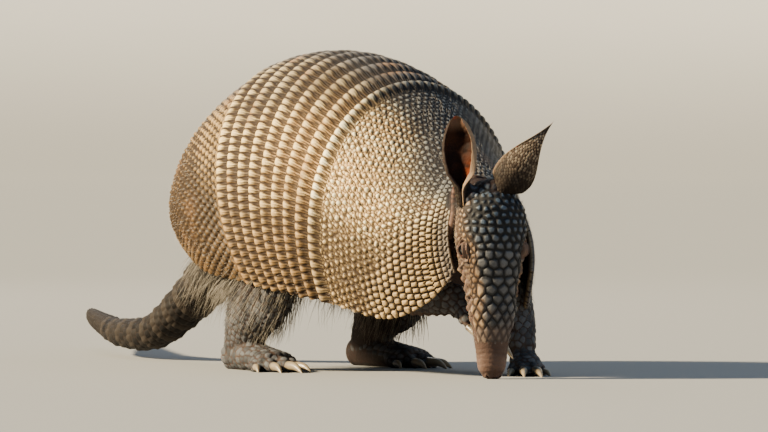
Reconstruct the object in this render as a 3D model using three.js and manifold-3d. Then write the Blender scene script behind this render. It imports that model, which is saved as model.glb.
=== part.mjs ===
// Nine-banded armadillo, life size, standing with its nose to the floor.
// Millimetres. +X is the way the body faces, +Y its left side, +Z up, and the floor is z = 0.

import * as THREE from 'three';
import { ParametricGeometry } from 'three/addons/geometries/ParametricGeometry.js';
import { mergeVertices } from 'three/addons/utils/BufferGeometryUtils.js';
import Module from 'manifold-3d';

const wasm = await Module();
wasm.setup();

// ---------------------------------------------------------------- driving dimensions

const GAP = 0.3;             // clear space between neighbouring pieces
const SHELL_WALL = 2.4;      // thickness of the bony shell
const FLESH_GAP = 1.2;       // space between the shell's inside and the trunk
const RIM_ANGLE = Math.PI * 2 / 3;   // how far the shell wraps down each side
const CORNER = 0.16;         // how much less it wraps at its front corners
const SHELL_SLICES = 24;     // facets round the shell

// Shell stations from the tail notch to the nape: a point of the dorsal line and a point
// of the lower margin, both seen from the side, and the shell's half width there.
const STATIONS = [
  { top: [-138, 72], rim: [-133, 64], half: 21 },
  { top: [-133.5, 103], rim: [-113, 60], half: 45 },
  { top: [-110.5, 136.5], rim: [-77, 51], half: 60 },
  { top: [-68, 158.5], rim: [-32, 46], half: 63.5 },
  { top: [-14, 162.5], rim: [2, 42], half: 65 },
  { top: [37, 147], rim: [35, 38], half: 62 },
  { top: [70, 122], rim: [78, 30], half: 46 },
  { top: [99, 100], rim: [110, 48], half: 26 },
];
const LAST = STATIONS.length - 1;
const PELVIC_FRONT = 3;      // station where the pelvic shield meets the last band
const SCAPULAR_REAR = 5;     // station where the first band meets the scapular shield
const BAND_COUNT = 8;
const BAND_RISE = 1.3;       // each band's rear edge stands above the next band's front

const TRUNK_FROM = 0.45;     // stations of the trunk's two ends
const TRUNK_TO = 6.35;
const BELLY_SAG = 8;         // how far the belly hangs below the shell's margins

const HEAD_LENGTH = 95;
const HEAD_NOSE = [128, -14.5, 0.6];   // middle of the blunt nose tip
const HEAD_YAW = -20;        // degrees, turned to the animal's right
const HEAD_LEAN = 3;         // degrees, nose ahead of the crown
// Head stations from the nose tip to the occiput: half width, and the reach of the
// dorsal and the throat side from the head's own axis.
const HEAD_STATIONS = [
  { half: 6.0, above: 5.2, below: 5.4 },
  { half: 8.2, above: 7.2, below: 7.2 },
  { half: 10.0, above: 9.0, below: 8.8 },
  { half: 11.6, above: 10.8, below: 10.8 },
  { half: 13.4, above: 13.0, below: 13.4 },
  { half: 16.2, above: 15.6, below: 17.0 },
  { half: 17.6, above: 17.0, below: 19.0 },
  { half: 16.4, above: 16.0, below: 18.0 },
  { half: 11.0, above: 10.6, below: 12.0 },
];
const FACE_SHIELD = { from: 0.16, to: 0.95, wall: 1.4 };
const EYE = { along: 0.665, angle: 66, radius: 4.6, sunk: 3.0 };

// An ear widens from its root to bloom, a share of its length, and closes to its tip.
const EAR_WALL = 1.5;
const EAR_ROOT = 5;          // length buried in the head
const EARS = {
  right: {
    along: 0.95, angle: 72, aim: [-0.05, -0.06, 1], face: [0.8, -0.6, 0],
    length: 40, half: 10.4, swell: 0.62, close: 0.6,
  },
  left: {
    along: 0.985, angle: -22, aim: [0.33, 0.5, 0.8], face: [-0.78, 0.62, 0.1],
    length: 37, half: 11.2, swell: 0.42, close: 0.86,
  },
};

const TAIL_PATH = [
  [-116, 0, 66], [-140, -2, 51], [-168, -4, 32], [-203, -2, 16],
  [-254, 9, 13], [-310, 32, 15.5], [-364, 58, 18], [-410, 84, 19],
];
const TAIL_RADIUS = { root: 18.5, tip: 2.6 };
const TAIL_LENGTHS = 7;      // the last one is the plain tip, the others carry rings
const RINGS_PER_LENGTH = 2;
const TAIL_TIP_FROM = 0.66;
const RING_STEP = 0.07;      // swell of each ring, as a share of the radius

const PLANTED = 0.8;         // how far the soles and the nose are cut flat at the floor

// ---------------------------------------------------------------- materials

function paint(color, roughness) {
  return new THREE.MeshStandardMaterial({ color, roughness, metalness: 0 });
}

const PAINTS = {
  shell: paint(0xb9a27e, 0.55),
  band: paint(0xab946f, 0.55),
  rump: paint(0xa08a6c, 0.6),
  face: paint(0x8f7f6c, 0.55),
  skin: paint(0x9a7f6e, 0.75),
  leg: paint(0x7d6b5c, 0.75),
  ear: paint(0x6e5443, 0.7),
  tail: paint(0x8b7760, 0.6),
  claw: paint(0xd9c9a6, 0.4),
  eye: paint(0x0c0907, 0.08),
};

// ---------------------------------------------------------------- solid helpers

const V = (x, y, z) => new THREE.Vector3(x, y, z);
const radians = THREE.MathUtils.degToRad;
const mix = THREE.MathUtils.lerp;

// A closed surface becomes a manifold solid with its faces outwards.
function solidOf(geometry) {
  geometry.deleteAttribute('normal');
  geometry.deleteAttribute('uv');
  const merged = mergeVertices(geometry, 1e-3);
  const place = merged.attributes.position;
  const corners = [0, 1, 2].map(() => V(0, 0, 0));
  const triangles = [];
  let volume = 0;
  for (let i = 0; i < merged.index.count; i += 3) {
    const ids = [0, 1, 2].map((k) => merged.index.getX(i + k));
    if (new Set(ids).size < 3) continue;
    ids.forEach((id, k) => corners[k].fromBufferAttribute(place, id));
    volume += corners[0].dot(corners[1].clone().cross(corners[2]));
    triangles.push(ids);
  }
  if (volume < 0) triangles.forEach((ids) => ids.reverse());
  return new wasm.Manifold(new wasm.Mesh({
    numProp: 3,
    vertProperties: Float32Array.from(place.array),
    triVerts: Uint32Array.from(triangles.flat()),
  }));
}

function geometryOf(solid) {
  const mesh = solid.getMesh();
  const geometry = new THREE.BufferGeometry();
  geometry.setAttribute('position', new THREE.BufferAttribute(mesh.vertProperties, 3));
  geometry.setIndex(new THREE.BufferAttribute(mesh.triVerts, 1));
  return geometry;
}

// The largest piece that a cut leaves, without its offcuts.
function mainPiece(solid) {
  const pieces = solid.decompose();
  return pieces.reduce((best, piece) => (piece.volume() > best.volume() ? piece : best));
}

function cutFrom(solid, ...others) {
  return mainPiece(others.reduce((rest, other) => rest.subtract(other), solid));
}

function cutAtFloor(solid) {
  return solid.trimByPlane([0, 0, 1], 0);
}

// A skin of oval sections. frameAt(t) gives centre, side and up vectors, the half width
// and the reach above and below; the two ends are rounded over a cap's length.
function loft({ frameAt, rows, around, caps = [0, 0], capRows = 2, grow = 0 }) {
  const stacks = rows + 2 * capRows;
  const surface = (u, v, target) => {
    const row = v * stacks;
    const t = THREE.MathUtils.clamp((row - capRows) / rows, 0, 1);
    const before = Math.max(0, (capRows - row) / capRows);
    const after = Math.max(0, (row - capRows - rows) / capRows);
    const closing = Math.max(before, after) * Math.PI / 2;
    const reach = after * (caps[1] + grow) > 0 ? caps[1] + grow : -(caps[0] + grow);
    const { centre, side, up, half, above, below } = frameAt(t);
    const ahead = side.clone().cross(up);
    const angle = u * Math.PI * 2;
    const lift = Math.cos(angle) > 0 ? above : below;
    target.copy(centre)
      .addScaledVector(ahead, reach * Math.sin(closing))
      .addScaledVector(side, (half + grow) * Math.sin(angle) * Math.cos(closing))
      .addScaledVector(up, (lift + grow) * Math.cos(angle) * Math.cos(closing));
  };
  return solidOf(new ParametricGeometry(surface, around, stacks));
}

// A tube of oval sections along a smooth path. Sizes are [half width, half height] pairs
// spread evenly along it, and hint is the direction kept upwards in each section.
function tube({ path, sizes, hint = V(0, 0, 1), from = 0, to = 1, shape = () => 1, ...rest }) {
  const line = new THREE.CatmullRomCurve3(path.map((p) => V(...p)));
  const size = new THREE.CatmullRomCurve3(sizes.map((s) => V(s[0], s[1], 0)));
  const frameAt = (t) => {
    const s = mix(from, to, t);
    const tangent = line.getTangent(s);
    const side = hint.clone().cross(tangent).normalize();
    const up = tangent.clone().cross(side);
    const { x, y } = size.getPoint(s).multiplyScalar(shape(s));
    return { centre: line.getPoint(s), side, up, half: x, above: y, below: y };
  };
  return loft({ frameAt, ...rest });
}

// The lengthwise and the outward direction of a surface given along and round it.
function directionsOf(surface, along, angle, low, high) {
  const step = 0.004 * (high - low);
  const at = THREE.MathUtils.clamp(along, low + step, high - step);
  const ahead = surface(at + step, angle).sub(surface(at - step, angle)).normalize();
  const across = surface(at, angle + 0.01).sub(surface(at, angle - 0.01));
  return { ahead, out: ahead.clone().cross(across).normalize() };
}

// A curved plate lying on a surface. Its section is a loop: the outer side from rear to
// front, then the inner side back. The two rims close to an edge in the wall's middle.
function plate({ surface, low, high, from, to, steps, spread, slices, outer, inner, grow = 0 }) {
  const sides = 2 * (steps + 1);
  const place = (u, v, target) => {
    const index = Math.round(v * sides) % sides;
    const isOuter = index <= steps;
    const share = (isOuter ? index : sides - 1 - index) / steps;
    const along = mix(from, to, share);
    const angle = mix(-1, 1, u) * (spread(along) + 0.006 * grow);
    const isRim = u < 0.5 / slices || u > 1 - 0.5 / slices;
    const wall = isOuter ? outer(share) + grow : inner - grow;
    const offset = isRim ? (outer(share) + inner) / 2 : wall;
    const { ahead, out } = directionsOf(surface, along, angle, low, high);
    const reach = share === 0 ? -grow : share === 1 ? grow : 0;
    target.copy(surface(along, angle)).addScaledVector(out, offset).addScaledVector(ahead, reach);
  };
  return solidOf(new ParametricGeometry(place, slices, sides));
}

// ---------------------------------------------------------------- shell

const TOP_LINE = new THREE.CatmullRomCurve3(STATIONS.map((s) => V(s.top[0], 0, s.top[1])));
const RIM_LINE = new THREE.CatmullRomCurve3(STATIONS.map((s) => V(s.rim[0], s.half, s.rim[1])));

// Sections of the shell are arcs of an ellipse, in the plane from the dorsal line down to
// the margin. Angle 0 is the dorsal line and RIM_ANGLE is the margin on the left.
function shellSurface(station, angle) {
  const share = THREE.MathUtils.clamp(station / LAST, 0, 1);
  const top = TOP_LINE.getPoint(share);
  const rim = RIM_LINE.getPoint(share);
  const half = rim.y;
  const drop = rim.setY(0).sub(top);
  const fall = (1 - Math.cos(angle)) / (1 - Math.cos(RIM_ANGLE));
  return top.addScaledVector(drop, fall).add(V(0, half * Math.sin(angle), 0));
}

// The front corners of the shell are rounded off.
function shellSpread(station) {
  return RIM_ANGLE - CORNER * Math.max(0, (station - (LAST - 0.5)) / 0.5) ** 2;
}

function shellPlate(from, to, steps, outer, grow = 0) {
  return plate({
    surface: shellSurface, low: 0, high: LAST, from, to, steps, outer, grow,
    inner: -SHELL_WALL, slices: SHELL_SLICES, spread: shellSpread,
  });
}

// Seams are left between the plates as a share of a station, about GAP wide.
const SEAM = 0.006;
const BAND_STATIONS = (SCAPULAR_REAR - PELVIC_FRONT) / BAND_COUNT;

function bandPlate(number) {
  const front = SCAPULAR_REAR - (number - 1) * BAND_STATIONS;
  const rise = (share) => BAND_RISE * (1 - share);
  return shellPlate(front - BAND_STATIONS + SEAM, front - SEAM, 1, rise);
}

// The scapular shield's rear edge stands over the first band, as each band's does.
function scapularPlate(grow = 0) {
  const rise = (share) => (share === 0 ? BAND_RISE : 0);
  return shellPlate(SCAPULAR_REAR + SEAM, LAST, 6, rise, grow);
}

function pelvicPlate(grow = 0) {
  return shellPlate(0, PELVIC_FRONT - SEAM, 6, () => 0, grow);
}

// All the bands as one plate, for cutting the legs clear of them.
function bandZone(grow) {
  return shellPlate(PELVIC_FRONT - SEAM, SCAPULAR_REAR + SEAM, 6, () => BAND_RISE, grow);
}

// ---------------------------------------------------------------- trunk

// The trunk fills the shell, less its wall, and closes below it in a shallow belly.
function trunk(grow = 0) {
  const inset = SHELL_WALL + FLESH_GAP - grow;
  const edgeAt = (station, angle) => shellSurface(station, angle)
    .addScaledVector(directionsOf(shellSurface, station, angle, 0, LAST).out, -inset);
  const surface = (u, v, target) => {
    const station = mix(TRUNK_FROM, TRUNK_TO, v);
    const angle = mix(-Math.PI, Math.PI, u);
    const sweep = Math.max(0, Math.abs(angle) - RIM_ANGLE) / (Math.PI - RIM_ANGLE);
    const top = edgeAt(station, 0);
    const edge = edgeAt(station, Math.sign(angle) * Math.min(Math.abs(angle), RIM_ANGLE));
    const down = edgeAt(station, RIM_ANGLE).setY(0).sub(top);
    const middle = top.clone().addScaledVector(down, 0.55);
    edge.y *= Math.cos(sweep * Math.PI / 2);
    edge.addScaledVector(down.normalize(), (BELLY_SAG + grow) * Math.sin(sweep * Math.PI / 2));
    const swell = Math.sqrt(Math.max(0, 1 - Math.abs(2 * v - 1) ** 6));
    target.copy(middle.lerp(edge, swell));
  };
  return solidOf(new ParametricGeometry(surface, 21, 11));
}

// ---------------------------------------------------------------- head

const HEAD_SIZE = new THREE.CatmullRomCurve3(
  HEAD_STATIONS.map((s) => V(s.half, s.above, s.below)));
const YAW = radians(HEAD_YAW);
const LEAN = radians(HEAD_LEAN);
const HEAD_UP = V(
  -Math.sin(LEAN) * Math.cos(YAW), -Math.sin(LEAN) * Math.sin(YAW), Math.cos(LEAN));
const HEAD_FACE = V(
  Math.cos(LEAN) * Math.cos(YAW), Math.cos(LEAN) * Math.sin(YAW), Math.sin(LEAN));
const HEAD_SIDE = HEAD_FACE.clone().cross(HEAD_UP);   // towards the animal's right

// The head's own axis runs up from the nose tip; its dorsal side is the face.
function headFrame(t) {
  const { x, y, z } = HEAD_SIZE.getPoint(t);
  const centre = V(...HEAD_NOSE).addScaledVector(HEAD_UP, t * HEAD_LENGTH);
  return { centre, side: HEAD_SIDE, up: HEAD_FACE, half: x, above: y, below: z };
}

function headSurface(t, angle) {
  const { centre, side, up, half, above, below } = headFrame(t);
  const lift = Math.cos(angle) > 0 ? above : below;
  return centre.addScaledVector(side, half * Math.sin(angle))
    .addScaledVector(up, lift * Math.cos(angle));
}

function headSolid(grow = 0) {
  return loft({ frameAt: headFrame, rows: 9, around: 16, caps: [2, 4], capRows: 2, grow });
}

// The face shield narrows above the eyes and widens over the crown.
function faceShield(grow = 0) {
  const spread = (t) => radians(60 + 16 * THREE.MathUtils.smoothstep(t, 0.66, 0.8)
    - 8 * Math.exp(-(((t - EYE.along) / 0.07) ** 2)));
  return plate({
    surface: headSurface, low: 0, high: 1, from: FACE_SHIELD.from, to: FACE_SHIELD.to,
    steps: 7, slices: 10, spread, outer: () => 1 + FACE_SHIELD.wall, inner: 1, grow,
  });
}

function eyePlace(sign) {
  const angle = sign * radians(EYE.angle);
  const { out } = directionsOf(headSurface, EYE.along, angle, 0, 1);
  return headSurface(EYE.along, angle).addScaledVector(out, -EYE.sunk);
}

function eyeball(sign, grow = 0) {
  const ball = new THREE.SphereGeometry(EYE.radius + grow, 11, 7);
  const { x, y, z } = eyePlace(sign);
  return solidOf(ball.translate(x, y, z));
}

// An ear is a leaf curled round its own length: a tube at the root that opens into a cup.
function ear({ along, angle, aim, face, length, half, swell, close }, grow = 0) {
  const up = V(...aim).normalize();
  const front = V(...face);
  front.addScaledVector(up, -front.dot(up)).normalize();
  const side = up.clone().cross(front);
  const root = headSurface(along, radians(angle)).addScaledVector(up, -EAR_ROOT);
  const bloom = swell / (swell + close);
  const widest = bloom ** swell * (1 - bloom) ** close;
  const across = 6;
  const loop = 2 * across;
  const surface = (u, v, target) => {
    const index = Math.round(u * loop) % loop;
    const isBack = index < across;
    const share = isBack ? index / across : (loop - index) / across;
    const edge = mix(-1, 1, share);
    const x = 0.1 + 0.9 * v;
    const leaf = half * x ** swell * (1 - x) ** close / widest;
    const curl = mix(2.3, 0.75, Math.min(1, v * 1.7));
    const radius = leaf / curl;
    const isEdge = index % across === 0 || v < 1e-3 || v > 1 - 1e-3;
    const wall = isEdge ? 0 : EAR_WALL / 2 + grow;
    const bend = radius + (isBack ? wall : -wall);
    const turn = edge * (curl + grow / (radius + 1));
    target.copy(root).addScaledVector(up, v * (length + EAR_ROOT + grow))
      .addScaledVector(side, bend * Math.sin(turn))
      .addScaledVector(front, radius * 0.5 - bend * Math.cos(turn))
      .addScaledVector(front, -4 * v * v);
  };
  return solidOf(new ParametricGeometry(surface, loop, 8));
}

// ---------------------------------------------------------------- neck

function neckSolid(grow = 0) {
  return tube({
    path: [[82, -1, 78], [100, -5, 81], [118, -11, 79]],
    sizes: [[23, 22], [20, 20], [14, 18]],
    rows: 4, around: 14, caps: [3, 3], capRows: 1, grow,
  });
}

// ---------------------------------------------------------------- feet and claws

// A foot is built with its ankle over the origin, the sole on z = 0 and the toes ahead,
// then put in place. Toes carry their place across the foot, spread, length and claw.
const FOREFOOT = {
  palm: {
    path: [[-4, 0, 9], [4, 0, 7], [13, 0, 5]],
    sizes: [[6.5, 7], [8, 6.6], [8.6, 5]],
  },
  toes: [
    { across: -6.4, ahead: 10, spread: -16, length: 6, girth: 2.9, claw: 11 },
    { across: -2.3, ahead: 13, spread: -5, length: 8, girth: 3.5, claw: 17 },
    { across: 2.5, ahead: 13, spread: 4, length: 8, girth: 3.6, claw: 18 },
    { across: 6.6, ahead: 9, spread: 15, length: 5.5, girth: 2.8, claw: 10 },
  ],
};
const HINDFOOT = {
  palm: {
    path: [[-9, 0, 8], [6, 0, 8], [24, 0, 6.5], [38, 0, 5.5]],
    sizes: [[7.5, 8.2], [8.6, 8.6], [10.4, 7], [11.4, 5.8]],
  },
  toes: [
    { across: -9.6, ahead: 31, spread: -20, length: 7, girth: 3.1, claw: 9 },
    { across: -5.2, ahead: 37, spread: -9, length: 9, girth: 3.7, claw: 13 },
    { across: 0, ahead: 39, spread: 0, length: 10, girth: 4.0, claw: 16 },
    { across: 5.2, ahead: 37, spread: 9, length: 9, girth: 3.7, claw: 13 },
    { across: 9.6, ahead: 31, spread: 20, length: 7, girth: 3.1, claw: 9 },
  ],
};

function toeFrame({ across, ahead, spread, length, girth }) {
  const turn = radians(spread);
  const way = V(Math.cos(turn), Math.sin(turn), 0);
  const root = V(ahead, across, girth + 0.6);
  const tip = root.clone().addScaledVector(way, length).setZ(girth - 0.5);
  return { way, root, tip };
}

function toeSolid(toe, grow = 0) {
  const { root, tip } = toeFrame(toe);
  const { girth } = toe;
  const middle = root.clone().lerp(tip, 0.5).setZ(girth + 0.8);
  return tube({
    path: [root, middle, tip].map((p) => p.toArray()),
    sizes: [[girth, girth], [girth, girth], [girth * 0.86, girth * 0.8]],
    rows: 1, around: 6, caps: [1, girth * 0.7], capRows: 1, grow,
  });
}

// A claw is a flattened curved cone that leaves the toe tip and drops to the floor.
function clawSolid(toe) {
  const { way, tip } = toeFrame(toe);
  const { girth, claw } = toe;
  const at = (share, height) => tip.clone().addScaledVector(way, claw * share).setZ(height);
  return tube({
    path: [at(0, girth), at(0.5, girth * 0.95), at(1, 0.5)].map((p) => p.toArray()),
    sizes: [[girth * 0.62, girth * 0.6], [girth * 0.46, girth * 0.48], [0.5, 0.5]],
    rows: 2, around: 5, caps: [0.3, 0.3], capRows: 1,
  });
}

function footSolid({ palm, toes }, grow = 0) {
  const sole = tube({ ...palm, rows: 3, around: 9, caps: [5, 4], grow });
  return toes.reduce((foot, toe) => foot.add(toeSolid(toe, grow)), sole);
}

// Names, shape and stance of the four legs. The limb runs down from inside the trunk;
// its sizes are [sideways, fore and aft]. pitch tips the foot's toes down, in degrees.
const LEGS = {
  fore_left: {
    foot: FOREFOOT, place: [88, 33, 0], turn: -28, pitch: 0, planted: true,
    path: [[62, 26, 66], [72, 32, 44], [78, 35, 26], [86, 33, 12]],
    sizes: [[14, 20], [11, 16], [9.5, 11], [7.5, 8]],
  },
  fore_right: {
    foot: FOREFOOT, place: [92, -15, 31], turn: 30, pitch: 34, planted: false,
    path: [[60, -24, 70], [67, -29, 53], [79, -24, 43], [94, -14.5, 39]],
    sizes: [[14, 20], [11, 15], [9.5, 11], [7.5, 8]],
  },
  hind_left: {
    foot: HINDFOOT, place: [-66, 42, 0], turn: 5, pitch: 0, planted: true,
    path: [[-52, 32, 70], [-46, 39, 44], [-58, 42, 26], [-69, 42, 10]],
    sizes: [[14, 34], [13, 30], [11, 17], [8, 9]],
  },
  hind_right: {
    foot: HINDFOOT, place: [-56, -43, 0], turn: -5, pitch: 0, planted: true,
    path: [[-46, -32, 70], [-40, -40, 44], [-49, -43, 26], [-59, -43, 10]],
    sizes: [[14, 34], [13, 30], [11, 17], [8, 9]],
  },
};

function footMatrix({ place, turn, pitch }) {
  const spin = new THREE.Euler(0, radians(pitch), radians(turn), 'ZYX');
  return new THREE.Matrix4().makeRotationFromEuler(spin).setPosition(...place);
}

// The soles are sunk a little and cut flat, so each planted foot rests on a small flat.
function placeFoot(solid, leg) {
  const sunk = leg.planted ? -PLANTED : 0;
  const placed = solid.transform(footMatrix(leg).elements).translate([0, 0, sunk]);
  return leg.planted ? cutAtFloor(placed) : placed;
}

// ---------------------------------------------------------------- tail

// The tail's radius shrinks along it, and each ring swells between two grooves.
function tailRadius(s) {
  return mix(TAIL_RADIUS.root, TAIL_RADIUS.tip, s ** 0.62);
}

function tailLength(number) {
  const isTip = number === TAIL_LENGTHS;
  const share = TAIL_TIP_FROM / (TAIL_LENGTHS - 1);
  const from = (number - 1) * share;
  const to = isTip ? 1 : from + share;
  const rings = isTip ? 1 : RINGS_PER_LENGTH;
  const swell = (s) => {
    const phase = THREE.MathUtils.clamp((s - from) / (to - from), 0, 1) * rings;
    return isTip ? 1 : 1 + RING_STEP * (Math.abs(Math.sin(phase * Math.PI)) - 0.5);
  };
  const samples = 24;
  const sizes = Array.from({ length: samples + 1 }, (_, i) => {
    const radius = tailRadius(i / samples);
    return [radius, radius];
  });
  const gap = number === 1 ? 0 : 0.0011;
  return cutAtFloor(tube({
    path: TAIL_PATH, sizes, from: from + gap, to, shape: swell,
    rows: isTip ? 6 : 2 * rings, around: isTip ? 9 : 12,
    caps: [0, isTip ? 2.6 : 0], capRows: 1,
  }));
}

// ---------------------------------------------------------------- assembly

const FINEST = 0.08;         // facets smaller than this are merged into their neighbours

const armadillo = new THREE.Group();
armadillo.name = 'armadillo';

function addPart(name, solid, material) {
  const mesh = new THREE.Mesh(geometryOf(solid.simplify(FINEST)), material);
  mesh.name = name;
  armadillo.add(mesh);
}

const shellRoom = [scapularPlate(GAP), bandZone(GAP), pelvicPlate(GAP)];
const trunkRoom = trunk(GAP);
const headRoom = [headSolid(GAP), faceShield(GAP)];

addPart('trunk', trunk(), PAINTS.skin);
addPart('scapular_shield', scapularPlate(), PAINTS.shell);
for (let number = 1; number <= BAND_COUNT; number += 1) {
  addPart(`band_${number}`, bandPlate(number), PAINTS.band);
}
addPart('pelvic_shield', pelvicPlate(), PAINTS.rump);

const head = cutAtFloor(headSolid()).subtract(eyeball(1, GAP)).subtract(eyeball(-1, GAP));
addPart('head', head, PAINTS.skin);
addPart('face_shield', faceShield(), PAINTS.face);
addPart('eye_right', eyeball(1), PAINTS.eye);
addPart('eye_left', eyeball(-1), PAINTS.eye);
addPart('ear_right', cutFrom(ear(EARS.right), ...headRoom), PAINTS.ear);
addPart('ear_left', cutFrom(ear(EARS.left), ...headRoom), PAINTS.ear);
const neckCuts = [trunkRoom, ...headRoom, shellRoom[0]];
const earRoom = [ear(EARS.right, GAP), ear(EARS.left, GAP)];
addPart('neck', cutFrom(neckSolid(), ...neckCuts, ...earRoom), PAINTS.skin);

for (const [name, leg] of Object.entries(LEGS)) {
  const foot = placeFoot(footSolid(leg.foot), leg);
  const footRoom = placeFoot(footSolid(leg.foot, GAP), leg);
  const limb = tube({
    path: leg.path, sizes: leg.sizes, hint: V(1, 0, 0.4),
    rows: 5, around: 12, caps: [3, 3], capRows: 1,
  });
  const legRoom = [trunkRoom, ...shellRoom, footRoom, ...headRoom, neckSolid(GAP)];
  addPart(`leg_${name}`, cutFrom(limb, ...legRoom), PAINTS.leg);
  addPart(`foot_${name}`, foot, PAINTS.leg);
  leg.foot.toes.forEach((toe, i) => {
    const claw = placeFoot(clawSolid(toe), leg);
    addPart(`claw_${name}_${i + 1}`, cutFrom(claw, footRoom), PAINTS.claw);
  });
}

for (let number = 1; number <= TAIL_LENGTHS; number += 1) {
  const length = tailLength(number);
  const isRoot = number === 1;
  addPart(`tail_${number}`,
    isRoot ? cutFrom(length, trunkRoom, shellRoom[2]) : length, PAINTS.tail);
}

// The model stands with the middle of its own box over the origin.
const middle = new THREE.Box3().setFromObject(armadillo).getCenter(V(0, 0, 0));
armadillo.position.set(-middle.x, -middle.y, 0);

export default armadillo;
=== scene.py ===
"""Nine-banded armadillo, life size: shell, scales, skin, eyes, ears, claws, tail, hair, studio.

The surfaces are grids of points worked out from the same lines as the solids. Scales are the
cells round scattered seeds: they lift the points, and their values are kept with the mesh as
attributes, which the procedural paints read.
"""

import math
from collections import namedtuple
from contextlib import contextmanager

import bmesh
import bpy
import numpy as np
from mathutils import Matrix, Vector, kdtree


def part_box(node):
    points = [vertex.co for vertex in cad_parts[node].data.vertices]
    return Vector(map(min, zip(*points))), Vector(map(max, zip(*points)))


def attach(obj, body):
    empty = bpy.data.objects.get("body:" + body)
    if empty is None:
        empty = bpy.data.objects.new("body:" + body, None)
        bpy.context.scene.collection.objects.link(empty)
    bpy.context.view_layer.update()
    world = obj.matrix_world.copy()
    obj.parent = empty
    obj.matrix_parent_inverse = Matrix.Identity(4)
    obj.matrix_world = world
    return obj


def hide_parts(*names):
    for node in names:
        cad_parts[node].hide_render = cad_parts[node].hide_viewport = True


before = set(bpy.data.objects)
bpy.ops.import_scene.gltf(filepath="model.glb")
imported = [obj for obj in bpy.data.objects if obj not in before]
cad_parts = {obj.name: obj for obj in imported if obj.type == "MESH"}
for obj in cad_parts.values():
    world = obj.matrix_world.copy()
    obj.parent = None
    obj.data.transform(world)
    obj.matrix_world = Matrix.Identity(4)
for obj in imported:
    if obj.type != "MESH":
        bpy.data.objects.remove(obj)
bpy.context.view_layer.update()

FINE = 1.0     # how many times coarser the grids are
SKIN_VOXEL = 0.00085 * 1     # metres
RANDOM = np.random.default_rng(7).random(997)     # shares that scales and hairs pick from

# ------------------------------------------------------------------ named sizes
# Millimetres on the body's own axes, as in the solids: +X ahead, +Y left, floor z = 0.

TOP_LINE = [(-138, 0, 72), (-133.5, 0, 103), (-110.5, 0, 136.5), (-68, 0, 158.5),
            (-14, 0, 162.5), (37, 0, 147), (70, 0, 122), (99, 0, 100)]
RIM_LINE = [(-133, 21, 64), (-113, 45, 60), (-77, 60, 51), (-32, 63.5, 46),
            (2, 65, 42), (35, 62, 38), (78, 46, 30), (110, 26, 48)]
LAST = len(TOP_LINE) - 1     # stations number the lines' points from the rear
RIM_ANGLE = 2 * math.pi / 3
CORNER = 0.16                # how far the front corners of the shell are rounded off
PELVIC_FRONT, SCAPULAR_REAR, BAND_COUNT = 3, 5, 8
BAND_STATIONS = (SCAPULAR_REAR - PELVIC_FRONT) / BAND_COUNT
SEAM = 0.006                 # stations left free at each end of a plate
SHOULDER_RISE = 1.3          # how far the shoulder's rear margin stands out
SHELL_WALL = 2.4
EDGE_ROWS = 4                # rows of points in the rounded edge of a plate
SCUTE_PITCH = 4.9            # across one horny scale of a band, measured round the body

HEAD_LENGTH, HEAD_NOSE = 95, np.array([128, -14.5, 0.6])
YAW, LEAN = math.radians(-20), math.radians(3)
# Half width, dorsal and throat reach of the head from its axis, nose tip to occiput.
HEAD_STATIONS = [(6, 5.2, 5.4), (8.2, 7.2, 7.2), (10, 9, 8.8), (11.6, 10.8, 10.8),
                 (13.4, 13, 13.4), (16.2, 15.6, 17), (17.6, 17, 19), (16.4, 16, 18),
                 (11, 10.6, 12)]
FACE_FROM, FACE_TO = 0.16, 0.95     # shares of the head's length under the face's shield
FACE_DEPTH = 0.6             # how far the face shield's inner side lies under the outline
EYE_ALONG, EYE_ANGLE, EYE_RADIUS, EYE_SUNK = 0.665, math.radians(66), 4.6, 3.0

EAR_ROOT, EAR_WALL = 5, 1.5  # length buried in the head, and thickness
EAR_PEBBLE = 1.25            # between the pebbles of an ear's back
# Each ear: its root's share of the head and angle, where its tip and its hollow point, its
# length and half width, how fast the leaf widens and closes, both lobes' widths and closings,
# a sideways shift, its curl, and how narrow the root is and where along the ear it opens.
EARS = {
    "right": dict(along=0.95, angle=72, aim=(-0.05, -0.06, 1), face=(0.8, -0.6, 0), length=40,
                  half=9.6, swell=0.62, close=0.6, lobes=(1.0, 1.0, 0.6, 0.6), shift=-2.4,
                  roll=1.0, narrow=0.1, open=(0.14, 0.38)),
    "left": dict(along=0.985, angle=-22, aim=(0.33, 0.5, 0.8), face=(-0.78, 0.62, 0.1), length=42,
                 half=10.4, swell=0.5, close=1.1, lobes=(1.1, 1.4, 1.6, 2.4), shift=0,
                 roll=0.6, narrow=0.02, open=(-0.02, 0.2))}

TAIL_PATH = [(-116, 0, 66), (-140, -2, 51), (-168, -4, 32), (-203, -2, 16),
             (-254, 9, 13), (-310, 32, 15.5), (-364, 58, 18), (-410, 84, 19)]
TAIL_ROOT, TAIL_TIP, TAIL_RINGS = 18.5, 2.6, 12
TIP_FROM = 0.66              # share of the tail where the rings give way to small scales
TAIL_SCALE, TAIL_ROW = 4.4, 3.4     # a tail scale's width, and its length on the tip

PLANTED = 0.8                # how far the soles are cut flat at the floor
COAT = 0.5                   # how far the skin lies inside the outline
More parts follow.
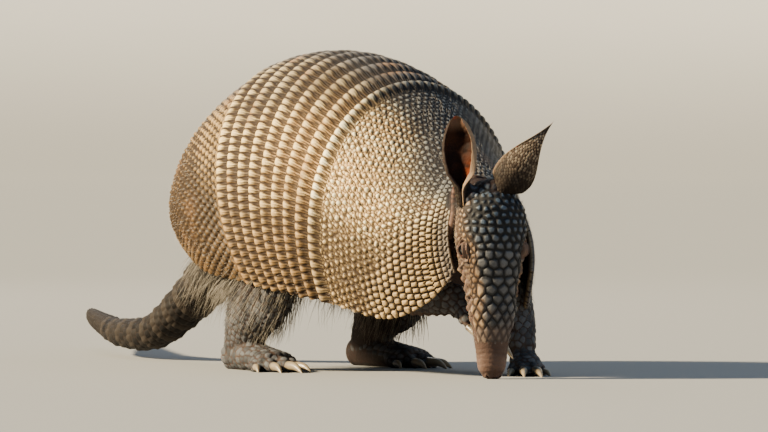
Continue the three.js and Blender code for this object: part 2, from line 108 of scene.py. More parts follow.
# Toes: place across, place ahead, spread in degrees, length, girth, claw length.
FORE = dict(path=[(-4, 0, 9), (4, 0, 7), (13, 0, 5)], sizes=[(6.5, 7), (8, 6.6), (8.6, 5)],
            toes=[(-6.4, 10, -16, 6, 2.9, 11), (-2.3, 13, -5, 8, 3.5, 17),
                  (2.5, 13, 4, 8, 3.6, 18), (6.6, 9, 15, 5.5, 2.8, 10)])
HIND = dict(path=[(-9, 0, 8), (6, 0, 8), (24, 0, 6.5), (38, 0, 5.5)],
            sizes=[(7.5, 8.2), (8.6, 8.6), (10.4, 7), (11.4, 5.8)],
            toes=[(-9.6, 31, -20, 7, 3.1, 9), (-5.2, 37, -9, 9, 3.7, 13),
                  (0, 39, 0, 10, 4.0, 16), (5.2, 37, 9, 9, 3.7, 13), (9.6, 31, 20, 7, 3.1, 9)])
# The foot's place, its turn and pitch in degrees, the limb's path and its sections.
Leg = namedtuple("Leg", "foot place turn pitch path sizes")
LEGS = {
    "fore_left": Leg(FORE, (88, 33, 0), -28, 0,
                     [(62, 26, 66), (72, 32, 44), (78, 35, 26), (86, 33, 12)],
                     [(14, 20), (11, 16), (9.5, 11), (7.5, 8)]),
    "fore_right": Leg(FORE, (92, -15, 31), 30, 34,
                     [(60, -24, 70), (67, -29, 53), (79, -24, 43), (94, -14.5, 39)],
                     [(14, 20), (11, 15), (9.5, 11), (7.5, 8)]),
    "hind_left": Leg(HIND, (-66, 42, 0), 5, 0,
                     [(-52, 32, 70), (-46, 39, 44), (-58, 42, 26), (-69, 42, 10)],
                     [(14, 34), (13, 30), (11, 17), (8, 9)]),
    "hind_right": Leg(HIND, (-56, -43, 0), -5, 0,
                     [(-46, -32, 70), (-40, -40, 44), (-49, -43, 26), (-59, -43, 10)],
                     [(14, 34), (13, 30), (11, 17), (8, 9)]),
}


# ------------------------------------------------------------------ curves and meshes

def spline(points):
    """A smooth curve through the points, read at shares from 0 to 1."""
    given = np.array(points, float)
    ends = np.vstack([2 * given[0] - given[1], given, 2 * given[-1] - given[-2]])

    def at(share):
        place = np.clip(np.asarray(share, float), 0, 1) * (len(given) - 1)
        index = np.minimum(place.astype(int), len(given) - 2)
        w = (place - index)[..., None]
        a, b, c, d = (ends[index + k] for k in range(4))
        gap = lambda p, q: np.maximum(((p - q) ** 2).sum(-1, keepdims=True) ** 0.25, 1e-9)
        ab, bc, cd = gap(a, b), gap(b, c), gap(c, d)
        out = ((b - a) / ab - (c - a) / (ab + bc) + (c - b) / bc) * bc
        back = ((c - b) / bc - (d - b) / (bc + cd) + (d - c) / cd) * bc
        return (b + out * w + (3 * (c - b) - 2 * out - back) * w ** 2
                + (2 * (b - c) + out + back) * w ** 3)
    return at


def unit(v):
    return v / np.maximum(np.linalg.norm(v, axis=-1, keepdims=True), 1e-12)


def smoothstep(low, high, x):
    t = np.clip((x - low) / (high - low), 0, 1)
    return t * t * (3 - 2 * t)


def domed(x):
    return 1 - (1 - x) ** 2


def ridge(distance, width):
    return np.exp(-(distance / width) ** 2)


def moved(points, *steps):
    """Points moved step by step, each step a direction and how far."""
    for way, far in steps:
        points = points + way * np.asarray(far)[..., None]
    return points


def at_least(field, value):
    """Raises a field, in place, to the value wherever it is lower."""
    np.maximum(field, value, out=field)


def arc_along(line):
    """Length of a line of points up to each of them."""
    return np.concatenate([[0], np.cumsum(np.linalg.norm(np.diff(line, axis=0), axis=1))])


TOP, RIM = spline(TOP_LINE), spline(RIM_LINE)


def shell_point(station, angle):
    """A point of the shell's outer face. Angle 0 is the back, RIM_ANGLE the left margin."""
    station, angle = np.broadcast_arrays(np.asarray(station, float), np.asarray(angle, float))
    top, rim = TOP(station / LAST), RIM(station / LAST)
    half = rim[..., 1].copy()
    rim[..., 1] = 0
    fall = (1 - np.cos(angle)) / (1 - math.cos(RIM_ANGLE))
    point = moved(top, (rim - top, fall))
    point[..., 1] += half * np.sin(angle)
    return point


def shell_spread(station):
    """Angle of the shell's margin, drawn in where the front corners are rounded off."""
    return RIM_ANGLE - CORNER * np.clip((np.asarray(station) - (LAST - 0.5)) / 0.5, 0, None) ** 2


def directions(surface, along, angle, low, high):
    """The ahead, across and outward directions of a surface."""
    step = 0.004 * (high - low)
    at = np.clip(along, low + step, high - step)
    ahead = unit(surface(at + step, angle) - surface(at - step, angle))
    across = unit(surface(at, angle + 0.01) - surface(at, angle - 0.01))
    return ahead, across, unit(np.cross(ahead, across))


# Where the body's axes lie in the model's frame, found from the fourth band's box.
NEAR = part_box("band_4")
BAND_4 = shell_point(*np.meshgrid(
    SCAPULAR_REAR - np.array([4, 3]) * BAND_STATIONS, np.linspace(-RIM_ANGLE, RIM_ANGLE, 97)))
ORIGIN = np.array([
    (NEAR[0].x + NEAR[1].x) / 2 - BAND_4[..., 0].min() / 2000 - BAND_4[..., 0].max() / 2000,
    (NEAR[0].y + NEAR[1].y) / 2, 0.0])


def to_frame(points):
    """Body millimetres to the model's frame in metres."""
    return np.asarray(points, float) * 0.001 + ORIGIN


def build(name, points, quads, tris=None, values=None, uv=None):
    """A smooth mesh object from arrays, with per-point values as attributes."""
    mesh = bpy.data.meshes.new(name)
    quads = np.asarray(quads, np.int32).reshape(-1, 4)
    tris = np.zeros((0, 3), np.int32) if tris is None else np.asarray(tris, np.int32).reshape(-1, 3)
    corners = np.concatenate([quads.ravel(), tris.ravel()])
    starts = np.concatenate([np.arange(len(quads)) * 4, quads.size + np.arange(len(tris)) * 3])
    mesh.vertices.add(len(points))
    mesh.vertices.foreach_set("co", to_frame(points).astype(np.float32).ravel())
    mesh.loops.add(len(corners))
    mesh.loops.foreach_set("vertex_index", corners)
    mesh.polygons.add(len(starts))
    mesh.polygons.foreach_set("loop_start", starts.astype(np.int32))
    mesh.polygons.foreach_set("use_smooth", np.ones(len(starts), bool))
    if uv is not None:
        layer = mesh.uv_layers.new(name="OFBake")
        layer.data.foreach_set("uv", np.asarray(uv, np.float32)[corners].ravel())
    for key, value in (values or {}).items():
        put_values(mesh, key, value)
    mesh.update(calc_edges=True)
    mesh.validate()
    thing = bpy.data.objects.new(name, mesh)
    bpy.context.scene.collection.objects.link(thing)
    return thing


def put_values(mesh, key, value):
    field = mesh.attributes.new(key, "FLOAT", "POINT")
    field.data.foreach_set("value", np.asarray(value, np.float32).ravel())


def grid_quads(rows, columns, first=0, wrap=False, flip=False):
    """Faces of a grid of points, closed round its columns if wrap."""
    number = first + np.arange(rows * columns).reshape(rows, columns)
    right = np.roll(number, -1, 1) if wrap else number[:, 1:]
    left = number if wrap else number[:, :-1]
    faces = np.stack([left[:-1], right[:-1], right[1:], left[1:]], -1).reshape(-1, 4)
    return faces[:, ::-1] if flip else faces


def border(rows, columns, first=0):
    """The rim of a grid of points, once round."""
    number = first + np.arange(rows * columns).reshape(rows, columns)
    return np.concatenate([number[0, :-1], number[:-1, -1], number[-1, :0:-1], number[:0:-1, 0]])


def nearest(points, seeds, count):
    """Distance to and number of the nearest seeds of every point."""
    tree = kdtree.KDTree(len(seeds))
    for number, seed in enumerate(seeds):
        tree.insert(seed, number)
    tree.balance()
    flat = points.reshape(-1, 3)
    found = [[(f[2], f[1]) for f in tree.find_n(p, count)] for p in flat.tolist()]
    both = np.array(found).reshape(points.shape[:-1] + (count, 2))
    return both[..., 0], both[..., 1].astype(int)


def rumple(points, size, seed=0):
    """Smooth noise from about -1 to 1 whose lumps are about `size` across."""
    rng = np.random.default_rng(seed)
    total = np.zeros(points.shape[:-1])
    for _ in range(7):
        wave = unit(rng.normal(size=3)) * rng.uniform(0.7, 1.5) * math.pi / size
        total += np.sin(points @ wave + rng.uniform(0, 6.28))
    return total / 3.2


# ------------------------------------------------------------------ materials

class Paint:
    """A procedural material under construction."""

    def __init__(self, name, roughness=0.6, **inputs):
        self.material = bpy.data.materials.new(name)
        self.material.use_nodes = True
        self.tree = self.material.node_tree
        self.shader = self.tree.nodes["Principled BSDF"]
        self.shader.inputs["Roughness"].default_value = roughness
        for key, value in inputs.items():
            self.shader.inputs[key.replace("_", " ")].default_value = value

    def node(self, kind, inputs=None, output=0, **settings):
        made = self.tree.nodes.new("ShaderNode" + kind)
        for key, value in settings.items():
            setattr(made, key, value)
        for key, value in (inputs or {}).items():
            self.feed(made.inputs[key], value)
        return made.outputs[output]

    def feed(self, socket, value):
        """Links another node's output to the socket, or sets a plain value."""
        if isinstance(value, bpy.types.NodeSocket):
            self.tree.links.new(value, socket)
        else:
            socket.default_value = value

    def value(self, name):
        return self.node("Attribute", output="Fac", attribute_name=name)

    def values(self, *names):
        return [self.value(name) for name in names]

    def noise(self, scale, detail=3, stretch=None):
        """Clouds of about 1 / scale metres, on the piece's own axes."""
        place = self.node("TexCoord", output="Object")
        if stretch:
            place = self.node("Mapping", {"Vector": place, "Scale": stretch})
        return self.node("TexNoise", {"Vector": place, "Scale": scale, "Detail": detail})

    def ramp(self, value, low, high, out_low=0.0, out_high=1.0):
        return self.node("MapRange", {0: value, 1: low, 2: high, 3: out_low, 4: out_high},
                         interpolation_type="SMOOTHSTEP")

    def math(self, operation, a, b=0.0):
        return self.node("Math", {0: a, 1: b}, operation=operation)

    def plus(self, a, b):
        return self.math("ADD", a, b)

    def minus(self, a, b):
        return self.math("SUBTRACT", a, b)

    def times(self, a, b):
        return self.math("MULTIPLY", a, b)

    def mix(self, factor, a, b):
        made = self.tree.nodes.new("ShaderNodeMix")
        made.data_type = "RGBA"
        for index, value in ((0, factor), (6, a), (7, b)):
            if not isinstance(value, bpy.types.NodeSocket) and index:
                value = (*value, 1.0)
            self.feed(made.inputs[index], value)
        return made.outputs[2]

    def done(self, colour, roughness=None, bumps=()):
        """Feeds the shader. Bumps are pairs of a height and how many metres it stands for."""
        self.feed(self.shader.inputs["Base Color"], colour)
        if roughness is not None:
            self.feed(self.shader.inputs["Roughness"], roughness)
        normal = None
        for height, distance in bumps:
            inputs = {"Height": height, "Distance": distance, "Strength": 1.0}
            if normal:
                inputs["Normal"] = normal
            normal = self.node("Bump", inputs)
        if normal:
            self.feed(self.shader.inputs["Normal"], normal)
        return self.material


def shade(colour, by):
    return [part * by for part in colour]


def shell_paint(name, brown, cream, tan):
    """Horn over dark grooves: brown, worn to cream on the high parts; painted sunlight on the mid
    flank; painted shade, darker and bluer along the back, darker low down.
    """
    p = Paint(name, 0.5, Specular_IOR_Level=0.15)
    relief, pale, tone, back, low, wear, sunny, scored, place = p.values(
        "relief", "pale", "tone", "back", "low", "wear", "sunny", "scored", "place")
    grain, cloud, soil = p.noise(900, 4), p.noise(55, 3), p.noise(24, 4)
    worn = p.plus(pale, p.times(p.minus(tone, 0.5), 0.3))
    worn = p.plus(worn, p.times(p.minus(cloud, 0.5), 0.7))
    worn = p.ramp(worn, 0.16, 0.95)
    horn = p.mix(worn, p.mix(sunny, brown, shade(tan, 2.6)), cream)
    # Painted shade: darker low on the flanks, at the front and at the rear.
    horn = p.mix(p.times(low, 0.9), horn, p.mix(worn, shade(tan, 0.3), shade(tan, 1.5)))
    # Painted shade: darker and bluer where back is high.
    shaded_back = p.mix(worn, (0.008, 0.0105, 0.016), (0.048, 0.061, 0.09))
    horn = p.mix(p.times(back, 0.9), horn, shaded_back)
    horn = p.mix(p.times(wear, p.ramp(cloud, 0.35, 0.6, 0.0, 0.75)), horn, (0.26, 0.13, 0.05))
    horn = p.mix(p.ramp(soil, 0.5, 0.72, 0.0, 0.5), horn, shade(brown, 0.6))
    horn = p.mix(p.ramp(grain, 0.42, 0.75, 0.0, 0.3), horn, brown)
    wave = p.plus(p.times(place, 19.0), p.times(p.noise(160, 2), 7.0))
    lines = p.times(scored, p.ramp(p.math("SINE", wave), -0.1, 0.75))
    horn = p.mix(p.times(lines, 0.9), horn, shade(brown, 0.28))
    # Grooves paler under the painted sunlight, darker and greyer under the back's painted shade.
    groove = p.mix(p.times(sunny, 0.8), (0.028, 0.016, 0.009), shade(tan, 0.36))
    groove = p.mix(back, groove, (0.013, 0.012, 0.013))
    # Dark between the scales, and partly painted shade on a band's front, under the lip of the band
    # ahead.
    groove_and_shade = p.ramp(p.minus(relief, p.times(p.noise(260, 2), 0.14)), 0.0, 0.42)
    colour = p.mix(groove_and_shade, groove, horn)
    rough = p.ramp(p.plus(relief, p.times(grain, 0.5)), 0.2, 1.5, 0.72, 0.46)
    return p.done(colour, rough, [(grain, 0.00018), (lines, -0.00022)])


def finish(thing, paint, slot, *nodes):
    """Dresses a piece, parents it to the root's empty, and hides the solids it stands for."""
    thing.data.materials.clear()
    thing.data.materials.append(paint)
    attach(thing, "root")
    if nodes:
        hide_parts(*nodes)


# ------------------------------------------------------------------ shell
# What the scales' fields give the paint, from 0 to 1: relief over the grooves, pale where worn,
# a random tone for each scale, scored where a band is striped, painted shade along the back and low
# on the flank, painted sunlight (sunny), and stains. A band's stripes follow place, which counts
# scales.

SHELL_GRID = 0.51 * FINE     # between neighbouring points of the shell's outer grid
RUMP_GRID = SHELL_GRID * 1.25
BAND_TILT, BAND_SUNK = 1.9, 0.9     # how far a band's rear edge stands over its sunk front
RUMP_SUNK = 0.3
FLANK = 1.15                 # the angle at which rows of rosettes are spaced out
SEEDS_NEAR = 5               # seeds weighed up for the scale a point of a rosette lies in
# A scale rises from its edge until the next seed is this much further than its own.
BOSS_SIDE, BEAD_SIDE = 3.5, 1.8
BEAD_LOOSE = 0.36            # how far the small ones stray
SHOULDER_HORN = dict(brown=(0.115, 0.075, 0.034), cream=(0.95, 0.84, 0.52), tan=(0.25, 0.158, 0.066))
BAND_HORN = dict(brown=(0.070, 0.041, 0.017), cream=(0.73, 0.54, 0.25), tan=(0.20, 0.113, 0.042))
RUMP_HORN = dict(brown=(0.024, 0.0145, 0.0065), cream=(0.33, 0.21, 0.082), tan=(0.066, 0.036, 0.013))


def arc_of(station):
    """Angles down one side of the shell, with the length of arc from the back to each."""
    angle = np.linspace(0, RIM_ANGLE, 361)
    return angle, arc_along(shell_point(np.full_like(angle, station), angle))


def even_angles(station, count, shift=0.0):
    """Angles of scales evenly spaced round the shell, `count` of them to a side."""
    angle, arc = arc_of(station)
    place = (np.arange(-count, count + 1) + shift) / count
    place = place[np.abs(place) < 1.001]
    return (np.sign(place) * np.interp(np.abs(place) * arc[-1], arc, angle)
            * shell_spread(station) / RIM_ANGLE)


def rounded(values, low, high):
    """A row of numbers with a rounded edge of its own size at both ends.

    Gives the numbers, and how far out and how far down each lies.
    """
    turn = np.linspace(math.pi / 2, 0, EDGE_ROWS + 1)[:-1]
    low_out, high_out = low * np.sin(turn), high * np.sin(turn)
    low_down, high_down = low * (1 - np.cos(turn)), high * (1 - np.cos(turn))
    level = np.zeros(len(values))
    return (np.pad(values, EDGE_ROWS, "edge"),
            np.concatenate([-low_out, level, high_out[::-1]]),
            np.concatenate([low_down, level, high_down[::-1]]))


def sheet_grid(rows, columns, low, high, side):
    """The numbers of a plate's outer grid both ways, then how far out and down each lies."""
    return [np.broadcast_arrays(x[:, None], y[None, :])
            for x, y in zip(rounded(rows, low, high), rounded(columns, side, side))]


def plate(name, base, out, outer, depth, values, tall=1.0, flip=False):
    """A closed mesh of a plate's fine outer grid and a coarse one, `depth` under the base."""
    rows, columns = outer.shape[:2]
    pick_rows, pick_columns = coarse(rows), coarse(columns)
    inner = (base - out * depth)[np.ix_(pick_rows, pick_columns)]
    small, first = inner.shape[:2], rows * columns
    quads = np.concatenate([grid_quads(rows, columns, flip=not flip),
                            grid_quads(*small, first=first, flip=flip)])
    tris = stitch(border(rows, columns), border(*small, first=first),
                  len_of(pick_rows, pick_columns))
    if flip:
        tris = [t[::-1] for t in tris]
    blank = np.zeros(inner[..., 0].size)
    values = {key: np.concatenate([value.ravel(), blank]) for key, value in values.items()}
    uv = np.concatenate([grid_uv(rows, columns, 0.01, 0.66 * tall), grid_uv(*small, 0.72, 0.25)])
    points = np.concatenate([outer.reshape(-1, 3), inner.reshape(-1, 3)])
    return build(name, points, quads, tris, values, uv)


def armour_plate(name, stations, angles, field, rise, paint, slot, node):
    """A curved bony plate with a field of scales on its outer face and a plain inner face.

    field(points, stations, angles) gives the height and the attributes of the scales.
    """
    (s, a), (s_out, a_out), (s_down, a_down) = sheet_grid(stations, angles, 0.8, 0.7, 0.7)
    a = a * shell_spread(s) / RIM_ANGLE
    base = shell_point(s, a)
    ahead, across, out = directions(shell_point, s, a, 0, LAST)
    height, values = field(base, s, a)
    reach = 0.45 + 0.55 * values["relief"]
    outer = moved(base, (ahead, s_out * reach), (across, a_out * reach),
                  (out, rise(s) + height - np.maximum(s_down, a_down)))
    rows, columns = s.shape
    long, wide = arc_along(base[:, columns // 2])[-1], arc_along(base[rows // 2])[-1]
    thing = plate(name, base, out, outer, SHELL_WALL, values, min(1.0, long / wide * 1.6))
    finish(thing, paint, slot, node)


def coarse(count, stride=4):
    """Every fourth of a row of numbers, always with the last."""
    picked = np.arange(0, count, stride)
    return picked if picked[-1] == count - 1 else np.append(picked, count - 1)


def len_of(pick_rows, pick_columns):
    """How many fine steps each step of the coarse border spans, once round."""
    down, across = np.diff(pick_rows), np.diff(pick_columns)
    return np.concatenate([across, down, across[::-1], down[::-1]])


def stitch(fine, rough, spans):
    """Triangles between a fine and a coarse loop that start at the same corner."""
    found = []
    at = 0
    for k, span in enumerate(spans):
        here, after = rough[k], rough[(k + 1) % len(rough)]
        half = span // 2
        for step in range(span):
            a, b = fine[(at + step) % len(fine)], fine[(at + step + 1) % len(fine)]
            found.append((a, b, here if step < half else after))
        found.append((after, here, fine[(at + half) % len(fine)]))
        at += span
    return found


def grid_uv(rows, columns, low, tall):
    v, u = np.meshgrid(low + tall * np.linspace(0, 1, rows), np.linspace(0.01, 0.99, columns),
                       indexing="ij")
    return np.stack([u, v], -1).reshape(-1, 2)


def common_values(points, stations, angles):
    """Painted shade along the back and low on the flank, painted sunlight, and stains, for each place
    of the shell.
    """
    fore, aft = smoothstep(5.4, 6.8, stations), smoothstep(3.0, 1.8, stations)
    round_body = np.abs(angles) + 0.12 * rumple(points, 30, 3)
    # Painted shade, darker and bluer: along the back, and on the far side high up from the middle bands
    # forward and all over its front corner.
    shaded_back = 1 - smoothstep(0.2, 1.0, round_body - 0.42 * fore + 0.15 * aft)
    far = smoothstep(4, 18, points[..., 1])
    high = smoothstep(3.9, 5.2, stations) * smoothstep(1.55, 1.1, round_body)
    shaded_back = np.maximum(shaded_back, far * np.maximum(high, smoothstep(5.8, 6.5, stations)))
    sunny = ridge(round_body - 1.1, 0.42) * (1 - fore) * smoothstep(3.4, 5.2, stations)
    # back: that painted shade, with the shoulder's front margin added to it.
    return {"back": np.maximum(shaded_back, 0.75 * smoothstep(6.72, 6.95, stations)),
            # low: painted shade, growing down the flanks and towards both ends.
            "low": smoothstep(1.2, 1.85, round_body + 0.35 * fore + 0.85 * aft),
            "sunny": sunny,
            "wear": smoothstep(0.4, 0.95, rumple(points, 17, 5))}


def band_scales(points, share, place):
    """Scales of a band: pale teeth along its rear ridge, with dark scored wedges ahead, partly painted
    shade where they lie under the lip of the band ahead.

    share runs from the rear edge to the front, and place counts scales round the body.
    """
    place = place * 1.14 + 0.07 * rumple(points, 8, 11)
    number = np.floor(place).astype(int)
    across = (place - number - 0.5) * 2
    odd = RANDOM[(number * 5 + 400) % len(RANDOM)]
    half = 0.88 - (0.34 + 0.24 * odd) * smoothstep(0.2, 0.9, share)
    tooth = np.clip(1 - np.abs(across / half) ** 2.6, 0, 1) ** 0.7 * smoothstep(-0.06, 0.14, share)
    gap = np.clip((np.abs(across) - half) / np.maximum(1.02 - half, 0.05), 0, 1)
    between = np.sin(gap * math.pi / 2) * smoothstep(0.4, 0.7, share)
    crest = ridge(share - 0.26, 0.26)
    ahead = smoothstep(0.26, 0.66, share)
    score = 0.5 + 0.5 * np.sin(across * 9.5 + 6 * odd + 1.5 * rumple(points, 2.5, 12))
    height = (0.35 + 0.5 * crest) * tooth + 0.3 * between + 0.85 * crest - 0.2 * ahead * score
    # Ahead, under the lip of the band ahead, relief and pale fall off: browner horn, partly painted
    # shade.
    relief = tooth * (1 - 0.3 * ahead) - 0.2 * ahead * score
    relief = np.maximum(relief, (0.45 - 0.3 * score) * between)
    pale = tooth * (1 - 0.8 * ahead) * (0.75 + 0.5 * odd)
    scored = smoothstep(0.12, 0.4, share) * (1 - 0.75 * tooth * (1 - ahead))
    tone = RANDOM[(number * 7 + 300) % len(RANDOM)]
    return height, {"relief": np.clip(relief, 0, 1), "pale": np.clip(pale, 0, 1), "tone": tone,
                    "scored": scored, "place": place}


def scale_places(station):
    """A function that counts a band's scales round the body, from the back to each angle."""
    angle, arc = arc_of(station)
    count = round(arc[-1] / SCUTE_PITCH)
    return lambda angles: np.sign(angles) * np.interp(np.abs(angles), angle, arc) / arc[-1] * count


def band_field(number, rear, front):
    """The scales of one band, set off against those of its neighbours."""
    place_at = scale_places((rear + front) / 2)

    def field(points, stations, angles):
        share = (stations - rear) / (front - rear)
        height, values = band_scales(points, share, place_at(angles) + RANDOM[number])
        values["tone"] = (values["tone"] + RANDOM[number * 3]) % 1.0
        values.update(common_values(points, stations, angles))
        values["wear"] *= 1 - smoothstep(0.1, 0.6, share)
        return height * (1 - 0.4 * values["back"]), values
    return field


def rosette_seeds(rear, front, step_at, pitch_at):
    """Big scales in rows parallel to the bands, and the small ones that ring them."""
    stations = np.linspace(rear, front, 400)
    arc = arc_along(shell_point(stations, np.full(400, FLANK)))
    big, small = [], []
    at, row, count = 0.0, 0, 1
    while at < arc[-1] + 3:
        here = np.interp(at, arc, stations)
        share = (here - rear) / (front - rear)
        step, side = step_at(share), arc_of(here)[1][-1]
        if abs(side / count / pitch_at(share) - 1) > 0.14:
            count = round(side / pitch_at(share))
        big += [(here, t) for t in even_angles(here, count, 0.5 * (row % 2))]
        for part, shift in ((1 / 3, 0.5 * (1 - row % 2)), (2 / 3, 0.5 * (row % 2))):
            between = np.interp(at + step * part, arc, stations)
            small += [(between, t) for t in even_angles(here, count, shift)]
        at += step
        row += 1
    return np.array(big), np.array(small)


def rosette_cells(points, seeds, is_big, grown, pitch, edge):
    """The seed whose scale a point lies in, whether that is a small one, and how far inside."""
    gap, number = nearest(points, seeds, SEEDS_NEAR)
    bead = ~is_big[number]
    reach = gap - np.where(bead, -BOSS_SIDE * edge[..., None], grown[number] * pitch[..., None])
    order = np.argsort(reach, -1)[..., :2]
    first, second = (np.take_along_axis(reach, order[..., k:k + 1], -1)[..., 0] for k in (0, 1))
    is_bead, chosen = (np.take_along_axis(x, order[..., :1], -1)[..., 0] for x in (bead, number))
    inside = (second - first) / (np.where(is_bead, BEAD_SIDE, BOSS_SIDE - 0.4 * edge) * pitch)
    return chosen, is_bead, np.clip(inside - 0.1 - 0.05 * edge, 0, 1)


def rosette_field(rear, front, step_at, pitch_at, edge_at, swell, loose_by, teeth=None):
    """A shield's scales: round bosses in rings of small ones, and close-set kernels
    where edge_at(share, angle) is 1."""
    big, small = rosette_seeds(rear, front, step_at, pitch_at)
    spots = np.concatenate([big, small])
    is_big = np.arange(len(spots)) < len(big)
    rng = np.random.default_rng(3)
    loose = 1 - 0.85 * edge_at((spots[:, 0] - rear) / (front - rear), np.abs(spots[:, 1]))
    spread = (rng.normal(size=(len(spots), 3))
              * np.where(is_big, loose_by, BEAD_LOOSE)[:, None] * loose[:, None])
    seeds = shell_point(spots[:, 0], spots[:, 1]) + spread
    tones = rng.random(len(spots))
    grown = np.where(is_big, swell + rng.normal(size=len(spots)) * 0.14 * loose, 0)

    def field(points, stations, angles):
        share = (stations - rear) / (front - rear)
        pitch = pitch_at(share) / SCUTE_PITCH
        edge = edge_at(share, np.abs(angles))
        chosen, is_bead, inside = rosette_cells(points, seeds, is_big, grown, pitch, edge)
        dome = domed(inside)
        boss = smoothstep(0.05, 0.95 - 0.45 * swell, inside) * (1 - 0.22 * edge)
        flat = np.zeros_like(dome)
        values = {"relief": smoothstep(0.0, 0.3, inside) * np.where(is_bead, 0.85, 1.0),
                  "pale": np.where(is_bead, 0.52 * dome, boss), "tone": tones[chosen],
                  "scored": flat, "place": flat.copy()}
        values.update(common_values(points, stations, angles))
        calm = (smoothstep(2, 14, points[..., 1]) * smoothstep(3.9, 5.0, stations)
                * smoothstep(1.6, 1.2, np.abs(angles)))
        height = np.where(is_bead, 0.5, 1.6) * dome * pitch
        height = height * (1 - 0.65 * values["back"]) * (1 - 0.75 * calm)
        values["wear"] *= 0.35
        if teeth:
            blend_teeth(points, stations, angles, rear, teeth, height, values)
        return height, values
    return field


def blend_teeth(points, stations, angles, rear, reach, height, values):
    """The rear margin carries one row of teeth like a band's."""
    share = (stations - rear) / reach
    tall, found = band_scales(points, share, scale_places(rear)(angles))
    mine = share < 0.8
    height[mine] = tall[mine]
    for key, value in found.items():
        values[key][mine] = value[mine]


def shell_steps(rear, front, pitch):
    """Stations and angles about `pitch` apart over a stretch of the shell."""
    length = arc_along(shell_point(np.linspace(rear, front, 40), np.full(40, 1.0)))[-1]
    arc = 2 * max(arc_of(rear)[1][-1], arc_of(front)[1][-1])
    return (np.linspace(rear, front, round(length / pitch)),
            np.linspace(-RIM_ANGLE, RIM_ANGLE, round(arc / pitch)))


def shoulder_edge(share, angle):
    """Where the shoulder's scales are close-set: low in front, and along the margins."""
    low = smoothstep(1.65, 1.95, angle + 0.7 * smoothstep(0.4, 0.95, share))
    return np.maximum(low * smoothstep(0.3, 0.55, share), smoothstep(0.84, 0.92, share))


def rump_edge(share, angle):
    """Where the rump's scales are close-set: low on the flanks and next to the bands."""
    return np.maximum(smoothstep(1.8, 2.1, angle), smoothstep(0.76, 1.0, share))


def make_shell():
    """The shoulder's shield, the bands and the rump's shield."""
    rear, front = SCAPULAR_REAR + SEAM, LAST
    field = rosette_field(rear, front, lambda t: 3.5 - 1.0 * smoothstep(0.84, 0.9, t),
                          lambda t: 4.0 - 0.9 * smoothstep(0.3, 0.95, t), shoulder_edge,
                          swell=0.84, loose_by=0.22, teeth=0.22)
    armour_plate("shoulder_armour", *shell_steps(rear, front, SHELL_GRID), field,
                 lambda s: SHOULDER_RISE * (1 - smoothstep(rear, rear + 0.3, s)),
                 shell_paint("shoulder_horn", **SHOULDER_HORN), "shoulder_shell", "scapular_shield")
    band = shell_paint("band_horn", **BAND_HORN)
    for number in range(1, BAND_COUNT + 1):
        front = SCAPULAR_REAR - (number - 1) * BAND_STATIONS - SEAM
        rear = front - BAND_STATIONS + 2 * SEAM
        armour_plate(f"band_armour_{number}", *shell_steps(rear, front, SHELL_GRID),
                     band_field(number, rear, front),
                     lambda s: BAND_TILT * (1 - (s - rear) / (front - rear)) - BAND_SUNK,
                     band, "band", f"band_{number}")
    rear, front = 0.0, PELVIC_FRONT - SEAM
    field = rosette_field(rear, front, lambda t: 3.0 + 0.9 * smoothstep(0.55, 0.9, t),
                          lambda t: 3.4 + 1.2 * smoothstep(0.5, 0.95, t), rump_edge,
                          swell=0.7, loose_by=0.36)
    armour_plate("rump_armour", *shell_steps(rear, front, RUMP_GRID), field,
                 lambda s: -RUMP_SUNK * np.ones_like(s),
                 shell_paint("rump_horn", **RUMP_HORN), "rump_shell", "pelvic_shield")


# ------------------------------------------------------------------ head

HEAD_UP = np.array([-math.sin(LEAN) * math.cos(YAW), -math.sin(LEAN) * math.sin(YAW), math.cos(LEAN)])
HEAD_FACE = np.array([math.cos(LEAN) * math.cos(YAW), math.cos(LEAN) * math.sin(YAW), math.sin(LEAN)])
HEAD_SIDE = np.cross(HEAD_FACE, HEAD_UP)      # towards the animal's right
HEAD_SIZE = spline(HEAD_STATIONS)


def head_point(t, angle):
    """A point of the head's skin. t runs up from the nose, angle 0 is the middle of the face."""
    t, angle = np.broadcast_arrays(np.asarray(t, float), np.asarray(angle, float))
    size = HEAD_SIZE(t)
    lift = np.where(np.cos(angle) > 0, size[..., 1], size[..., 2])
    return moved(HEAD_NOSE, (HEAD_UP, t * HEAD_LENGTH), (HEAD_SIDE, size[..., 0] * np.sin(angle)),
                 (HEAD_FACE, lift * np.cos(angle)))


def head_place(points):
    """Where points lie on the head: share up from the nose, angle, and distance from the axis."""
    rel = points - HEAD_NOSE
    side, face = rel @ HEAD_SIDE, rel @ HEAD_FACE
    return rel @ HEAD_UP / HEAD_LENGTH, np.arctan2(side, face), np.hypot(side, face)


def face_spread(t):
    """Angle of the face shield's edge, drawn in beside the eyes."""
    return np.radians(60 + 16 * smoothstep(0.66, 0.8, t) - 12 * ridge(t - EYE_ALONG, 0.085))


FACE_GRID = 0.42 * FINE      # between neighbouring points of the face's outer grid
FACE_TALL, FACE_WIDE = 75, 50
FACE_SLACK = 1.02            # of the face laid flat, across
FACE_RIM = 0.84              # share of its width where the face's big scales end
FACE_AT = [0.16, 0.35, 0.5, 0.65, 0.8, 0.95]         # shares of the head, snout to crown
SCUTE_WIDE = [3.9, 4.8, 5.3, 4.7, 4.0, 3.7]          # across the face's scales
SCUTE_STEP = [3.4, 4.3, 4.6, 4.1, 3.5, 3.2]          # from each row of them to the next
SCUTE_DRAWN = [0.55, 0.68, 0.88, 1.0, 1.0, 1.0]      # under 1 the scales are lozenges
SCUTE_GROOVE = [0.04, 0.06, 0.08, 0.11, 0.19, 0.25]  # share of a scale taken by its groove


